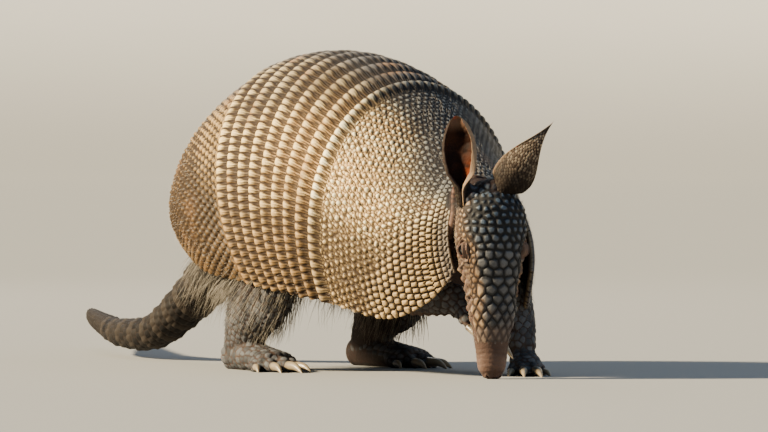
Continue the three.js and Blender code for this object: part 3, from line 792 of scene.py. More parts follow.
def face_flat(t, angle):
    """The face laid flat, across and along, with the snout's scales drawn out lengthwise."""
    across = angle * HEAD_SIZE(t)[..., 0] * FACE_SLACK
    shares = np.linspace(0, 1.1, 111)
    drawn = np.interp(shares, FACE_AT, SCUTE_DRAWN)
    along = np.interp(t, shares, np.cumsum(drawn) - drawn[0]) * 0.01
    return across, along * HEAD_LENGTH


def face_seeds():
    """Middles of the face's horny scales, in staggered rows up from the snout."""
    rng = np.random.default_rng(21)
    spots = []
    t, row = FACE_FROM + 0.004, 0
    while t < FACE_TO + 0.03:
        spread = face_spread(t)
        wide = 2 * spread * HEAD_SIZE(t)[0] * FACE_SLACK
        count = max(2, round(wide / np.interp(t, FACE_AT, SCUTE_WIDE)))
        loose = np.interp(t, [0.4, 0.9], [0.25, 0.62])
        for k in range(count + row % 2):
            place = (2 * (k + 0.5 - 0.5 * (row % 2)) / count - 1) * spread
            if t < 0.4 or abs(place) < spread * (FACE_RIM - 0.06):
                spots.append((t + rng.normal() * loose / HEAD_LENGTH,
                              place + rng.normal() * loose / HEAD_SIZE(t)[0]))
        t += np.interp(t, FACE_AT, SCUTE_STEP) / HEAD_LENGTH
        row += 1
    for row, t in enumerate(np.arange(0.4, FACE_TO + 0.02, 2.5 / HEAD_LENGTH)):
        for sign in (1, -1):
            for k in range(2):
                share = FACE_RIM + 0.05 + 0.11 * (k + 0.5 * (row % 2))
                spots.append((t + rng.normal() * 0.004, sign * share * face_spread(t)))
    return np.array(spots)


def face_field(base, t, w, angle):
    """Height and rise of the face's scales, and what the paint reads of them."""
    spots = face_seeds()
    seeds = np.stack([*face_flat(spots[:, 0], spots[:, 1]), np.zeros(len(spots))], -1)
    place = np.stack([*face_flat(t, angle), np.zeros_like(t)], -1)
    gap, number = nearest(place, seeds, 2)
    room = (gap[..., 1] - gap[..., 0]) / np.interp(t, FACE_AT, SCUTE_WIDE)
    inside = np.clip((room - np.interp(t, FACE_AT, SCUTE_GROOVE)) / 0.5, 0, 1)
    dome = domed(inside)
    fade = smoothstep(FACE_FROM, 0.36, t) * (1 - 0.6 * smoothstep(0.87, FACE_TO, t))
    cheek = smoothstep(FACE_RIM - 0.03, FACE_RIM + 0.03, np.abs(w)) * smoothstep(0.36, 0.44, t)
    height = (-0.35 - 0.45 * smoothstep(FACE_FROM + 0.06, FACE_FROM, t) + 1.75 * fade
              - 0.8 * cheek + (0.18 + 0.52 * fade) * dome * (1 - 0.4 * cheek))
    # high marks the crown end of the face, which the paint makes darker and bluer as painted shade.
    high = smoothstep(0.55, 0.85, t)
    # side marks the animal's right side of the face, which the paint turns tan as painted sunlight.
    side = w + 0.06 * rumple(base, 12, 8) + 0.24 * smoothstep(0.75, 0.3, t)
    return height, dome, {
        "relief": smoothstep(0.0, 0.3 + 0.45 * high * (1 - cheek), inside),
        "core": smoothstep(0.2, 1.0, inside),
        "tone": np.random.default_rng(5).random(len(spots))[number[..., 0]],
        "side": smoothstep(0.6, 0.88, side), "high": high,
        "bare": 1 - smoothstep(0.18, 0.38, t + 0.05 * rumple(base, 6, 9))}


def make_face_shield():
    """The shield of horny scales over the face, from the snout to the crown."""
    rows, columns = round(FACE_TALL / FACE_GRID), round(FACE_WIDE / FACE_GRID)
    (t, w), (t_out, w_out), (t_down, w_down) = sheet_grid(
        np.linspace(FACE_FROM, FACE_TO, rows), np.linspace(-1, 1, columns), 1.0, 1.0, 1.1)
    angle = w * face_spread(t)
    base = head_point(t, angle)
    ahead, across, out = directions(head_point, t, angle, 0, 1)
    height, dome, values = face_field(base, t, w, angle)
    reach = 0.5 + 0.5 * dome
    outer = moved(base, (ahead, t_out * reach), (across, w_out * reach),
                  (out, height - np.maximum(t_down, w_down)))
    thing = plate("face_armour", base, out, outer, FACE_DEPTH, values, flip=True)
    finish(thing, face_paint(), "face_shell", "face_shield")


def face_paint():
    """Dark blue-grey scales with paler middles, painted sunlight in tan on the animal's right, painted
    shade darker and bluer on the crown, bare and pink on the snout.
    """
    p = Paint("face_horn", 0.46, Specular_IOR_Level=0.2)
    relief, core, tone, side, high, bare = p.values("relief", "core", "tone", "side", "high", "bare")
    grain, cloud = p.noise(1100, 4), p.noise(120, 3)
    mixed = p.plus(p.times(tone, 0.35), p.times(cloud, 0.3))
    mixed = p.ramp(p.plus(mixed, p.times(core, 0.5)), 0.25, 0.95)
    horn = p.mix(mixed, (0.0125, 0.0138, 0.0165), (0.078, 0.077, 0.08))
    # Painted shade: darker and bluer towards the crown.
    crown = p.ramp(p.plus(core, p.times(tone, 0.4)), 0.4, 1.1)
    horn = p.mix(high, horn, p.mix(crown, (0.0036, 0.0058, 0.0096), (0.038, 0.054, 0.078)))
    # Painted sunlight: tan scales on the animal's right side.
    horn = p.mix(p.times(side, 0.85), horn,
                 p.mix(mixed, (0.11, 0.06, 0.028), (0.36, 0.235, 0.12)))
    horn = p.mix(p.times(bare, 0.9), horn,
                 p.mix(mixed, (0.055, 0.038, 0.031), (0.125, 0.09, 0.072)))
    horn = p.mix(p.ramp(grain, 0.45, 0.75, 0.0, 0.3), horn, (0.05, 0.04, 0.035))
    # Painted sunlight: warmer gaps on the animal's right side.
    gap = p.mix(side, (0.0045, 0.0043, 0.005), (0.018, 0.0095, 0.005))
    gap = p.mix(p.times(bare, 0.85), gap, (0.048, 0.033, 0.027))
    colour = p.mix(p.ramp(relief, 0.05, 0.8), gap, horn)
    rough = p.ramp(p.plus(relief, p.times(grain, 0.5)), 0.2, 1.5, 0.7, 0.4)
    return p.done(colour, rough, [(grain, 0.0002), (cloud, 0.0004)])


# ------------------------------------------------------------------ flesh

TRUNK_GRID = (120, 160)      # rows of points and points to a row
TRUNK_FROM, TRUNK_TO = 0.45, 6.35   # the stations it spans
BELLY_SAG = 8
NECK_PATH, NECK_SIZES = [(82, -1, 78), (100, -5, 81), (118, -11, 79)], [(23, 22), (20, 20), (14, 16)]
LEG_SCALE = {"fore": 3.2, "hind": 2.9}     # between the middles of a leg's scales
RELAX_ROUNDS = 14
HIDDEN_DEPTH = 7             # skin nearer than this to the shell is out of sight
FACES_KEPT = 0.62            # share of all the skin's faces, the rest gone from what is hidden
FINER = ((11, 0.16), (7, 0.07))     # reach round an eye, and share of the head from the nose


def closed_rows(rows, cap_rows, caps):
    """Each row of a tube with round ends: its share, its width and how far it stands out."""
    row = np.arange(-cap_rows, rows + cap_rows + 1)
    before, after = np.clip(-row / cap_rows, 0, 1), np.clip((row - rows) / cap_rows, 0, 1)
    closing = np.maximum(before, after) * math.pi / 2
    reach = np.where(after > 0, caps[1], -caps[0]) * np.sin(closing)
    return np.clip(row / rows, 0, 1), np.cos(closing)[:, None, None], reach[:, None]


def tube_grid(path, sizes, rows, around, start=0.0, caps=(2, 2), cap_rows=5, hint=(0, 0, 1),
              shape=None):
    """Oval sections along a path, rounded off at both ends, with each row's share."""
    line, size = spline(path), spline([(a, b, 0) for a, b in sizes])
    share, width, reach = closed_rows(rows, cap_rows, caps)
    share = start + (1 - start) * share
    tangent = unit(line(np.minimum(share + 1e-3, 1)) - line(np.maximum(share - 1e-3, 0)))
    side = unit(np.cross(np.array(hint, float), tangent))
    up = np.cross(tangent, side)
    half = size(share) * (1 if shape is None else shape(share)[:, None])
    turn = np.linspace(0, 2 * math.pi, around, endpoint=False)
    grid = (line(share)[:, None] + (tangent * reach)[:, None]
            + side[:, None] * (half[:, :1] * np.sin(turn))[..., None] * width
            + up[:, None] * (half[:, 1:2] * np.cos(turn))[..., None] * width)
    return grid, np.broadcast_to(share[:, None], grid.shape[:2])


def foot_matrix(leg):
    """The turn and the shift that put a foot in its place."""
    a, b = math.radians(leg.turn), math.radians(leg.pitch)
    spin = np.array([[math.cos(a), -math.sin(a), 0], [math.sin(a), math.cos(a), 0], [0, 0, 1]])
    tip = np.array([[math.cos(b), 0, math.sin(b)], [0, 1, 0], [-math.sin(b), 0, math.cos(b)]])
    sunk = 0 if leg.place[2] else PLANTED
    return spin @ tip, np.array(leg.place, float) - np.array([0, 0, sunk])


def limb_grid(leg, rows=50, around=48, caps=(3, 3), **settings):
    return tube_grid(leg.path, leg.sizes, rows, around, caps=caps, hint=(1, 0, 0.4), **settings)[0]


def toe_points(toe):
    """A toe's direction, its root and its tip, before the foot is put in place."""
    across, ahead, spread, length, girth, _ = toe
    way = np.array([math.cos(math.radians(spread)), math.sin(math.radians(spread)), 0])
    root = np.array([ahead, across, girth + 0.6])
    tip = root + way * length
    tip[2] = girth - 0.5
    return way, root, tip


def foot_grids(foot):
    """The palm and the toes of a foot, with knuckles, before it is put in place."""
    yield tube_grid(foot["path"], foot["sizes"], 30, 40, caps=(5, 4))[0]
    for toe in foot["toes"]:
        girth = toe[4]
        way, root, tip = toe_points(toe)
        middle = (root + tip) / 2
        middle[2] = girth + 0.8
        swell = lambda s: 1 + 0.1 * ridge(s - 0.42, 0.16)
        yield tube_grid([root - way * girth, root, middle, tip],
                        [(girth, girth), (girth, girth), (girth, girth), (girth * 0.86, girth * 0.8)],
                        16, 20, caps=(1, girth * 0.7), shape=swell)[0]


def trunk_grid(rows, around):
    """The body inside the shell, closed below by the belly."""
    inset = SHELL_WALL + 1.2
    v = np.linspace(0, 1, rows)[:, None]
    station = TRUNK_FROM + (TRUNK_TO - TRUNK_FROM) * v
    angle = np.linspace(-math.pi, math.pi, around, endpoint=False)[None]
    station, angle = np.broadcast_arrays(station, angle)

    def edge_at(a):
        return shell_point(station, a) - directions(shell_point, station, a, 0, LAST)[2] * inset
    sweep = np.clip(np.abs(angle) - RIM_ANGLE, 0, None) / (math.pi - RIM_ANGLE)
    top = edge_at(np.zeros_like(angle))
    edge = edge_at(np.sign(angle) * np.minimum(np.abs(angle), RIM_ANGLE))
    down = edge_at(np.full_like(angle, RIM_ANGLE))
    down[..., 1] = 0
    down -= top
    middle = top + down * 0.55
    edge[..., 1] *= np.cos(sweep * math.pi / 2)
    edge += unit(down) * (BELLY_SAG * np.sin(sweep * math.pi / 2))[..., None]
    swell = np.sqrt(np.clip(1 - np.abs(2 * v - 1) ** 6, 0, 1))[..., None]
    return middle + (edge - middle) * swell


def head_grid():
    """The head without its shield, closed at the nose and behind the crown."""
    share, width, reach = closed_rows(90, 6, caps=(2, 4))
    t = share[:, None]
    angle = np.linspace(0, 2 * math.pi, 64, endpoint=False)[None]
    axis = moved(HEAD_NOSE, (HEAD_UP, t * HEAD_LENGTH))
    return axis + (head_point(t, angle) - axis) * width + HEAD_UP * reach[..., None]


def ear_mound(spec):
    """The thick root of an ear, where it rises out of the crown. The left one does without."""
    up = unit(np.array(spec["aim"], float))
    root = head_point(spec["along"], math.radians(spec["angle"]))
    middle = np.array(HEAD_NOSE + HEAD_UP * HEAD_LENGTH * 0.97)
    inward = unit(middle - root)
    path = [root + inward * 3.5 - up * 6, root + inward * 2.2, root + inward * 0.8 + up * 6]
    return tube_grid(path, [(7.5, 7.5), (6.6, 6.6), (3.4, 3.4)], 16, 32, caps=(3, 2), hint=(1, 0, 0))[0]


def flesh_grids():
    """The closed grids that the skin's voxels join: trunk, head, neck, legs, feet and toes."""
    yield ear_mound(EARS["right"])
    yield trunk_grid(*TRUNK_GRID)
    yield head_grid()
    yield tube_grid(NECK_PATH, NECK_SIZES, 30, 48, caps=(3, 3))[0]
    for leg in LEGS.values():
        yield limb_grid(leg)
        spin, put = foot_matrix(leg)
        for grid in foot_grids(leg.foot):
            yield grid @ spin.T + put


def modify(thing, kind, **settings):
    """Applies a modifier for good."""
    added = thing.modifiers.new(kind.lower(), kind)
    for key, value in settings.items():
        setattr(added, key, value)
    bpy.context.view_layer.update()
    made = bpy.data.meshes.new_from_object(thing.evaluated_get(bpy.context.evaluated_depsgraph_get()))
    thing.modifiers.clear()
    old, thing.data = thing.data, made
    bpy.data.meshes.remove(old)


def read_triples(items, key):
    got = np.empty(len(items) * 3, np.float32)
    items.foreach_get(key, got)
    return got.reshape(-1, 3).astype(float)


def body_points(mesh):
    """A mesh's points in body millimetres."""
    return (read_triples(mesh.vertices, "co") - ORIGIN) * 1000


def set_points(mesh, points):
    mesh.vertices.foreach_set("co", to_frame(points).astype(np.float32).ravel())
    mesh.update()


def relax(mesh, points):
    """Evens a mesh out by moving each point towards its neighbours' middle, and partly back."""
    pairs = np.empty(len(mesh.edges) * 2, np.int32)
    mesh.edges.foreach_get("vertices", pairs)
    a, b = pairs.reshape(-1, 2).T
    count = np.bincount(a, minlength=len(points)) + np.bincount(b, minlength=len(points))
    for step in range(RELAX_ROUNDS):
        total = np.stack([np.bincount(a, points[b, k], len(points))
                          + np.bincount(b, points[a, k], len(points)) for k in range(3)], 1)
        pull = 0.5 if step % 2 == 0 else -0.47
        points = points + (total / count[:, None] - points) * pull
    return points


def make_skin():
    """One skin over trunk, neck, head, legs and feet, with folds, lids, nostrils and scales."""
    points, quads, first = [], [], 0
    for grid in flesh_grids():
        n, m = grid.shape[:2]
        points.append(grid.reshape(-1, 3))
        quads.append(grid_quads(n, m, first, wrap=True, flip=True))
        first += n * m
    skin = build("skin", np.concatenate(points), np.concatenate(quads))
    weld(skin)
    modify(skin, "REMESH", mode="VOXEL", voxel_size=SKIN_VOXEL)
    mesh = skin.data
    set_points(mesh, relax(mesh, body_points(mesh)))
    thin_out(skin)
    refine(skin)
    mesh = skin.data
    spots = body_points(mesh)
    shaped, values = shape_skin(spots, read_triples(mesh.vertex_normals, "vector"))
    shaped[:, 2] = np.maximum(shaped[:, 2], 0.0)
    set_points(mesh, shaped)
    for key, value in values.items():
        put_values(mesh, key, value)
    mesh.polygons.foreach_set("use_smooth", np.ones(len(mesh.polygons), bool))
    finish(skin, skin_paint(), "skin", "trunk", "neck", "head",
           *[f"{part}_{leg}" for part in ("leg", "foot") for leg in LEGS])


def thin_out(skin):
    """Fewer faces on the skin that the shell hides."""
    station, angle = np.meshgrid(np.linspace(0, 6.6, 60), np.linspace(-RIM_ANGLE, RIM_ANGLE, 70) * 0.9)
    lining = shell_point(station, angle).reshape(-1, 3)
    gap, _ = nearest(body_points(skin.data), lining, 1)
    hidden = skin.vertex_groups.new(name="hidden")
    hidden.add(np.flatnonzero(gap[:, 0] < HIDDEN_DEPTH).tolist(), 1.0, "REPLACE")
    modify(skin, "DECIMATE", decimate_type="COLLAPSE", ratio=FACES_KEPT, vertex_group="hidden",
           vertex_group_factor=1.0)
    skin.vertex_groups.clear()


@contextmanager
def editing(thing):
    """A thing's mesh opened for editing, and written back afterwards."""
    work = bmesh.new()
    work.from_mesh(thing.data)
    work.verts.ensure_lookup_table()
    yield work
    work.to_mesh(thing.data)
    work.free()


def weld(thing):
    """Joins the points that lie on each other."""
    with editing(thing) as work:
        bmesh.ops.remove_doubles(work, verts=work.verts, dist=1e-6)


def refine(skin):
    """Finer faces round the eyes and the snout, where the small folds are."""
    for reach_eye, reach_nose in FINER:
        points = body_points(skin.data)
        near = np.zeros(len(points), bool)
        for sign in (1, -1):
            eye = head_point(EYE_ALONG, sign * EYE_ANGLE)
            near |= np.linalg.norm(points - eye, axis=1) < reach_eye
        on_snout = head_place(points)[0] < reach_nose
        near |= on_snout & (np.linalg.norm(points - HEAD_NOSE, axis=1) < 30)
        with editing(skin) as work:
            edges = [e for e in work.edges if near[e.verts[0].index] and near[e.verts[1].index]]
            bmesh.ops.subdivide_edges(work, edges=edges, cuts=1, use_grid_fill=True)
            bmesh.ops.triangulate(work, faces=[f for f in work.faces if len(f.verts) > 4])


def eye_middle(sign):
    angle = sign * EYE_ANGLE
    out = directions(head_point, np.array(EYE_ALONG), np.array(angle), 0, 1)[2]
    return head_point(EYE_ALONG, angle) - out * EYE_SUNK, out


# The folds work in place: push lifts the skin, pink and rose say how it is coloured, and dark says
# where shade is painted.

def eye_folds(points, push, pink, dark):
    """Lids all but closed over each eye, in the hooked roll of skin that hoods it."""
    for sign in (1, -1):
        middle, out = eye_middle(sign)
        rel = points - middle
        up = unit(HEAD_UP - out * (HEAD_UP @ out))
        along, across = rel @ up, rel @ np.cross(out, up) * sign
        bent = across + 0.035 * along ** 2 + 0.2 * rumple(points, 3, 28)
        away = np.hypot(along, across)
        on = (np.linalg.norm(rel, axis=1) < 17) * ((rel @ out) > -2)
        over = np.sqrt(np.maximum(EYE_RADIUS ** 2 - away ** 2, 0)) * 1.07 - EYE_SUNK + 0.7
        lid = on * (1 - smoothstep(EYE_RADIUS + 0.1, EYE_RADIUS + 1.6, away))
        push += lid * (np.maximum(over, -0.2) - push)
        slit = np.hypot(along * 0.34, bent)
        push -= on * 2.6 * (1 - smoothstep(0.35, 1.0, slit))
        push += on * (0.45 * ridge(slit - 1.25, 0.35) - 0.35 * ridge(slit - 1.9, 0.25))
        hood = np.hypot(along * 0.62, bent * 1.05)
        push += on * (1.0 * ridge(hood - 3.5, 0.55) - 0.7 * ridge(hood - 2.6, 0.35)
                      - 0.7 * ridge(hood - 4.5, 0.4))
        at_least(pink, 0.5 * on * (1 - smoothstep(2.6, 4.6, hood)))
        # Painted shade in the slit between the lids and in the crease round the hood.
        at_least(dark, on * np.maximum(ridge(slit - 0.8, 0.5), 0.85 * ridge(hood - 4.5, 0.45)))


def cheek_folds(points, t, side, is_head, push, pink, dark):
    """Long folds from under the eye to the corner of the mouth, and the mouth itself."""
    cheek = is_head * smoothstep(0.26, 0.34, t) * (1 - smoothstep(0.57, 0.62, t))
    for k, place in enumerate((1.3, 1.5, 1.74)):
        line = side - place - 0.2 * (t - 0.5) + 0.06 * rumple(points, 9, 30 + k)
        lumps = 0.7 + 0.5 * np.sin(points @ HEAD_UP * 1.25 + 2.2 * k + 1.5 * rumple(points, 8, 35))
        push += cheek * (1.35 * lumps * ridge(line, 0.065) - 1.1 * ridge(line - 0.1, 0.04))
        at_least(pink, 0.3 * cheek * ridge(line, 0.05))
        # Painted shade in the furrow beside each fold.
        at_least(dark, 0.8 * cheek * ridge(line - 0.1, 0.045))
    jaw = is_head * (1 - smoothstep(0.4, 0.46, t)) * smoothstep(0.02, 0.05, t)
    mouth = side - 2.25 - 0.06 * rumple(points, 14, 40)
    push += jaw * (-1.5 * ridge(mouth, 0.07) + 0.55 * ridge(mouth + 0.16, 0.1)
                   + 0.3 * ridge(mouth - 0.2, 0.1) - 1.1 * smoothstep(0.05, 0.5, mouth))
    # Painted shade along the mouth's slit.
    at_least(dark, jaw * ridge(mouth, 0.05))


def nose_shape(points, t, side, is_head, push, pink, dark):
    """The bare tip of the snout, finely ringed, with the nostrils at its very end."""
    up = t * HEAD_LENGTH
    bulb = smoothstep(1.0, 6.0, up) * (1 - smoothstep(7, 15, up))
    push += is_head * (0.45 * bulb - 0.9 * (1 - smoothstep(0, 3.6, up)))
    nostril = np.hypot((side - 0.8) * 7.2, (up + 0.8) * 0.9)
    push += is_head * (0.3 * ridge(nostril - 1.9, 0.5) - 2.2 * (1 - smoothstep(0.4, 1.5, nostril)))
    # Painted shade in the nostrils.
    at_least(dark, is_head * (1 - smoothstep(0.6, 1.5, nostril)))
    push -= is_head * (1 - smoothstep(2, 5, up)) * 0.5 * ridge(side, 0.12)
    ring = np.sin(up * 2.6 + 1.2 * rumple(points, 9, 41))
    push += is_head * smoothstep(3, 6, up) * (1 - smoothstep(13, 19, up)) * 0.05 * ring
    at_least(pink, is_head * 0.8 * (1 - smoothstep(10, 34, up)))


NECK_FOLD = [(99, -17, 98), (104.5, -21.5, 90), (106.5, -23, 83), (104.5, -23, 76), (99, -20, 70)]


def neck_folds(points, is_head, push, pink, dark, rose):
    """Loose skin between shell and cheek, with one bare roll of it down from the ear."""
    neck = smoothstep(88, 96, points[:, 0]) * (1 - is_head) * smoothstep(46, 58, points[:, 2])
    bend = points @ np.array([0.75, 0.0, 0.12]) + 1.4 * rumple(points, 16, 50)
    push += neck * (0.7 * np.sin(bend * 1.5) + 0.3 * np.sin(bend * 3.3 + 1))
    at_least(pink, neck * (0.15 + 0.2 * np.sin(bend * 1.5)))
    # Painted shade over the neck, between shell and head.
    at_least(dark, neck * 0.5)
    roll = spline(NECK_FOLD)(np.linspace(0, 1, 60))
    for line in (roll, roll * [1, -1, 1] - [0, 10, 0]):
        gap, _ = nearest(points, line, 1)
        gap = gap[:, 0]
        creased = 0.6 + 0.4 * np.sin(points[:, 2] * 2.1 + 2.5 * rumple(points, 5, 57))
        push += 1.7 * ridge(gap, 1.3) * (0.75 + 0.25 * creased) - 1.0 * ridge(gap - 3.4, 1.1)
        at_least(rose, ridge(gap, 0.95) * creased)
        at_least(pink, ridge(gap, 1.6))
        # Painted shade in the crease round the roll, none on the roll itself.
        dark[:] = np.where(gap < 1.3, 0, np.maximum(dark, 0.95 * ridge(gap - 2.9, 1.5)))


def belly_and_thighs(points, normals, is_head, push, dark):
    """Warts under the belly, and painted shade there and on the thighs, up under the shell."""
    belly = smoothstep(0.3, 0.8, -normals[:, 2]) * smoothstep(24, 30, points[:, 2]) * (1 - is_head)
    wart = (np.sin(points[:, 0] * 0.9 + 0.5 * rumple(points, 20, 51))
            * np.sin(points[:, 1] * 1.3 + 0.6 * rumple(points, 18, 52)))
    push += belly * 0.7 * smoothstep(0.3, 0.9, wart)
    # Painted shade under the belly.
    at_least(dark, 0.35 * belly)
    thigh = smoothstep(30, 46, points[:, 2]) * smoothstep(-15, -30, points[:, 0])
    # Painted shade on the thighs, deepest up under the shell.
    at_least(dark, 0.85 * thigh)


def crown_top(points, normals, push, dark):
    """Behind the face's shield: lower at the sides, lumpy, and painted shade over it up to the ears'
    roots.
    """
    top = (smoothstep(0.3, 0.8, normals[:, 2]) * smoothstep(94, 97, points[:, 2])
           * smoothstep(98, 103, points[:, 0]))
    across = (points - HEAD_NOSE - HEAD_UP * HEAD_LENGTH) @ HEAD_SIDE
    push -= 2.4 * top * smoothstep(2, 13, np.abs(across))
    push += 0.45 * top * rumple(points, 3.2, 58)
    # Painted shade over the crown behind the shield.
    at_least(dark, top)
    # Painted shade round the ears' roots.
    for name, weight in (("left", 0.8), ("right", 0.35)):
        root = head_point(EARS[name]["along"], math.radians(EARS[name]["angle"]))
        away = np.linalg.norm(points - root - np.array(EARS[name]["aim"]) * 3, axis=1)
        at_least(dark, weight * smoothstep(11, 7, away))


def shape_skin(points, normals):
    """Moves the skin's points for folds and scales, and says how each place is coloured."""
    push = np.full(len(points), -COAT)
    t, angle, _ = head_place(points)
    axis = HEAD_NOSE + HEAD_UP * (t * HEAD_LENGTH)[:, None]
    is_head = (t < 1.06) & (np.linalg.norm(points - axis, axis=1) < 30) & (points[:, 0] > 96)
    is_head = is_head.astype(float)
    pink, dark, rose = np.zeros(len(points)), np.zeros(len(points)), np.zeros(len(points))
    side = np.abs(angle)
    eye_folds(points, push, pink, dark)
    cheek_folds(points, t, side, is_head, push, pink, dark)
    nose_shape(points, t, side, is_head, push, pink, dark)
    neck_folds(points, is_head, push, pink, dark, rose)
    belly_and_thighs(points, normals, is_head, push, dark)
    crown_top(points, normals, push, dark)
    scale, tone, legs, leg_shadow = leg_scales(points, normals)
    head_scale, head_tone, crown = head_scales(points, t, is_head)
    mine = head_scale > scale
    scale, tone = np.where(mine, head_scale, scale), np.where(mine, head_tone, tone)
    push += (0.75 - 0.35 * crown) * scale
    # Painted shade on the legs' inner sides.
    at_least(dark, leg_shadow)
    shaped = points + normals * push[:, None]
    wet = is_head * (1 - smoothstep(0.03, 0.07, t))
    return shaped, {"pink": pink, "dark": dark, "rose": rose, "wet": wet, "scale": scale,
                    "tone": tone, "legs": legs, "crown": crown,
                    "lift": np.clip(push / 1.5 + 0.5, 0, 1)}


def cells(points, seeds, groove, wide):
    """Splits a surface into scales round seeds: distance to the nearest seed, its number, and
    how far inside the scale a point lies, from 0 within `groove` of its edge to 1."""
    gap, number = nearest(points, seeds, 2)
    inside = np.clip((gap[..., 1] - gap[..., 0] - groove) / wide, 0, 1)
    return gap[..., 0], number[..., 0], inside


def head_scales(points, t, is_head):
    """Small scales over the crown behind the face's shield, and pebbles on the cheeks."""
    rng = np.random.default_rng(33)
    where = np.flatnonzero((is_head > 0) & (t > 0.42))
    grid = head_grid()[:, ::2]
    place, round_head, _ = head_place(grid)
    round_head = np.abs(round_head)
    cloud = grid + rng.normal(size=grid.shape) * 0.4
    crown = cloud[(place > 0.9) & (round_head < 1.75)]
    cheek = cloud[(place > 0.42) & (place < 0.93) & (round_head > 1.0) & (round_head < 2.3)]
    seeds = np.concatenate([spread_out(crown, 3.3), spread_out(cheek, 2.5)])
    gap, number, inside = cells(points[where], seeds, 0.5, 1.7)
    close = 1 - smoothstep(2.4, 3.4, gap)
    clear = np.ones(len(where))
    for sign in (1, -1):
        away = np.linalg.norm(points[where] - eye_middle(sign)[0], axis=1)
        clear *= smoothstep(5.4, 7.2, away)
    on_crown = smoothstep(0.86, 0.92, t[where])
    strength = (on_crown + (1 - on_crown) * 0.7) * clear
    scale, tone, above = (np.zeros(len(points)) for _ in range(3))
    scale[where] = domed(inside) * close * strength
    tone[where] = rng.random(len(seeds))[number]
    above[where] = on_crown
    return scale, tone, above


def leg_cloud(leg, rng):
    """Points over a leg and its foot, and the same ones strayed a little."""
    spin, put = foot_matrix(leg)
    pieces = [limb_grid(leg, 36, 24, caps=(1, 1), cap_rows=1, start=0.2)]
    pieces += [g[::3, ::2] @ spin.T + put for g in foot_grids(leg.foot)]
    cloud = np.concatenate([g.reshape(-1, 3) for g in pieces])
    return cloud, cloud + rng.normal(size=cloud.shape) * 0.3


def leg_scales(points, normals):
    """Overlapping horny scales down the front and outer side of the legs and over the feet."""
    rng = np.random.default_rng(31)
    scale, tone, legs, shadow = (np.zeros(len(points)) for _ in range(4))
    for name, leg in LEGS.items():
        cloud, loose = leg_cloud(leg, rng)
        seeds = spread_out(loose, LEG_SCALE[name[:4]])
        low, high, top = cloud.min(0) - 3, cloud.max(0) + 3, leg.path[0][2]
        near = np.all((points > low) & (points < high), axis=1) & (points[:, 2] < top - 6)
        where = np.flatnonzero(near)
        if not len(where):
            continue
        gap, number, inside = cells(points[where], seeds, 0.3, 1.7)
        close = 1 - smoothstep(2.4, 3.8, gap)
        spin, put = foot_matrix(leg)
        rel = (points[where] - put) @ spin
        on_foot = smoothstep(-10, -4, rel[:, 0]) * (rel[:, 2] < 22)
        side = 1 if name.endswith("left") else -1
        outward = normals[where] @ unit(np.array([0.75, 0.65 * side, 0.1]))
        covered = np.maximum(smoothstep(-0.35, 0.15, outward),
                             on_foot * smoothstep(-0.2, 0.2, normals[where, 2]))
        fade = smoothstep(0.0, 0.4, (top - 14 - points[where, 2]) / 12)
        size = np.where(on_foot > 0.5, 0.75, 1.0)
        scale[where] = np.maximum(scale[where], domed(inside) * close * covered * fade * size)
        tone[where] = rng.random(len(seeds))[number]
        legs[where] = np.maximum(legs[where], close * fade)
        # Painted shade on each leg's inner side, where no scales cover it.
        shadow[where] = np.maximum(shadow[where], 0.6 * close * (1 - covered))
    return scale, tone, legs, shadow


def spread_out(cloud, gap):
    """A few of the points, none nearer to another than the gap."""
    cell = {}
    kept = []
    for p in cloud.tolist():
        key = tuple(int(math.floor(c / gap)) for c in p)
        near = (q for i in (-1, 0, 1) for j in (-1, 0, 1) for k in (-1, 0, 1)
                for q in cell.get((key[0] + i, key[1] + j, key[2] + k), ()))
        if all((p[0] - q[0]) ** 2 + (p[1] - q[1]) ** 2 + (p[2] - q[2]) ** 2 > gap * gap for q in near):
            cell.setdefault(key, []).append(p)
            kept.append(p)
    return np.array(kept)


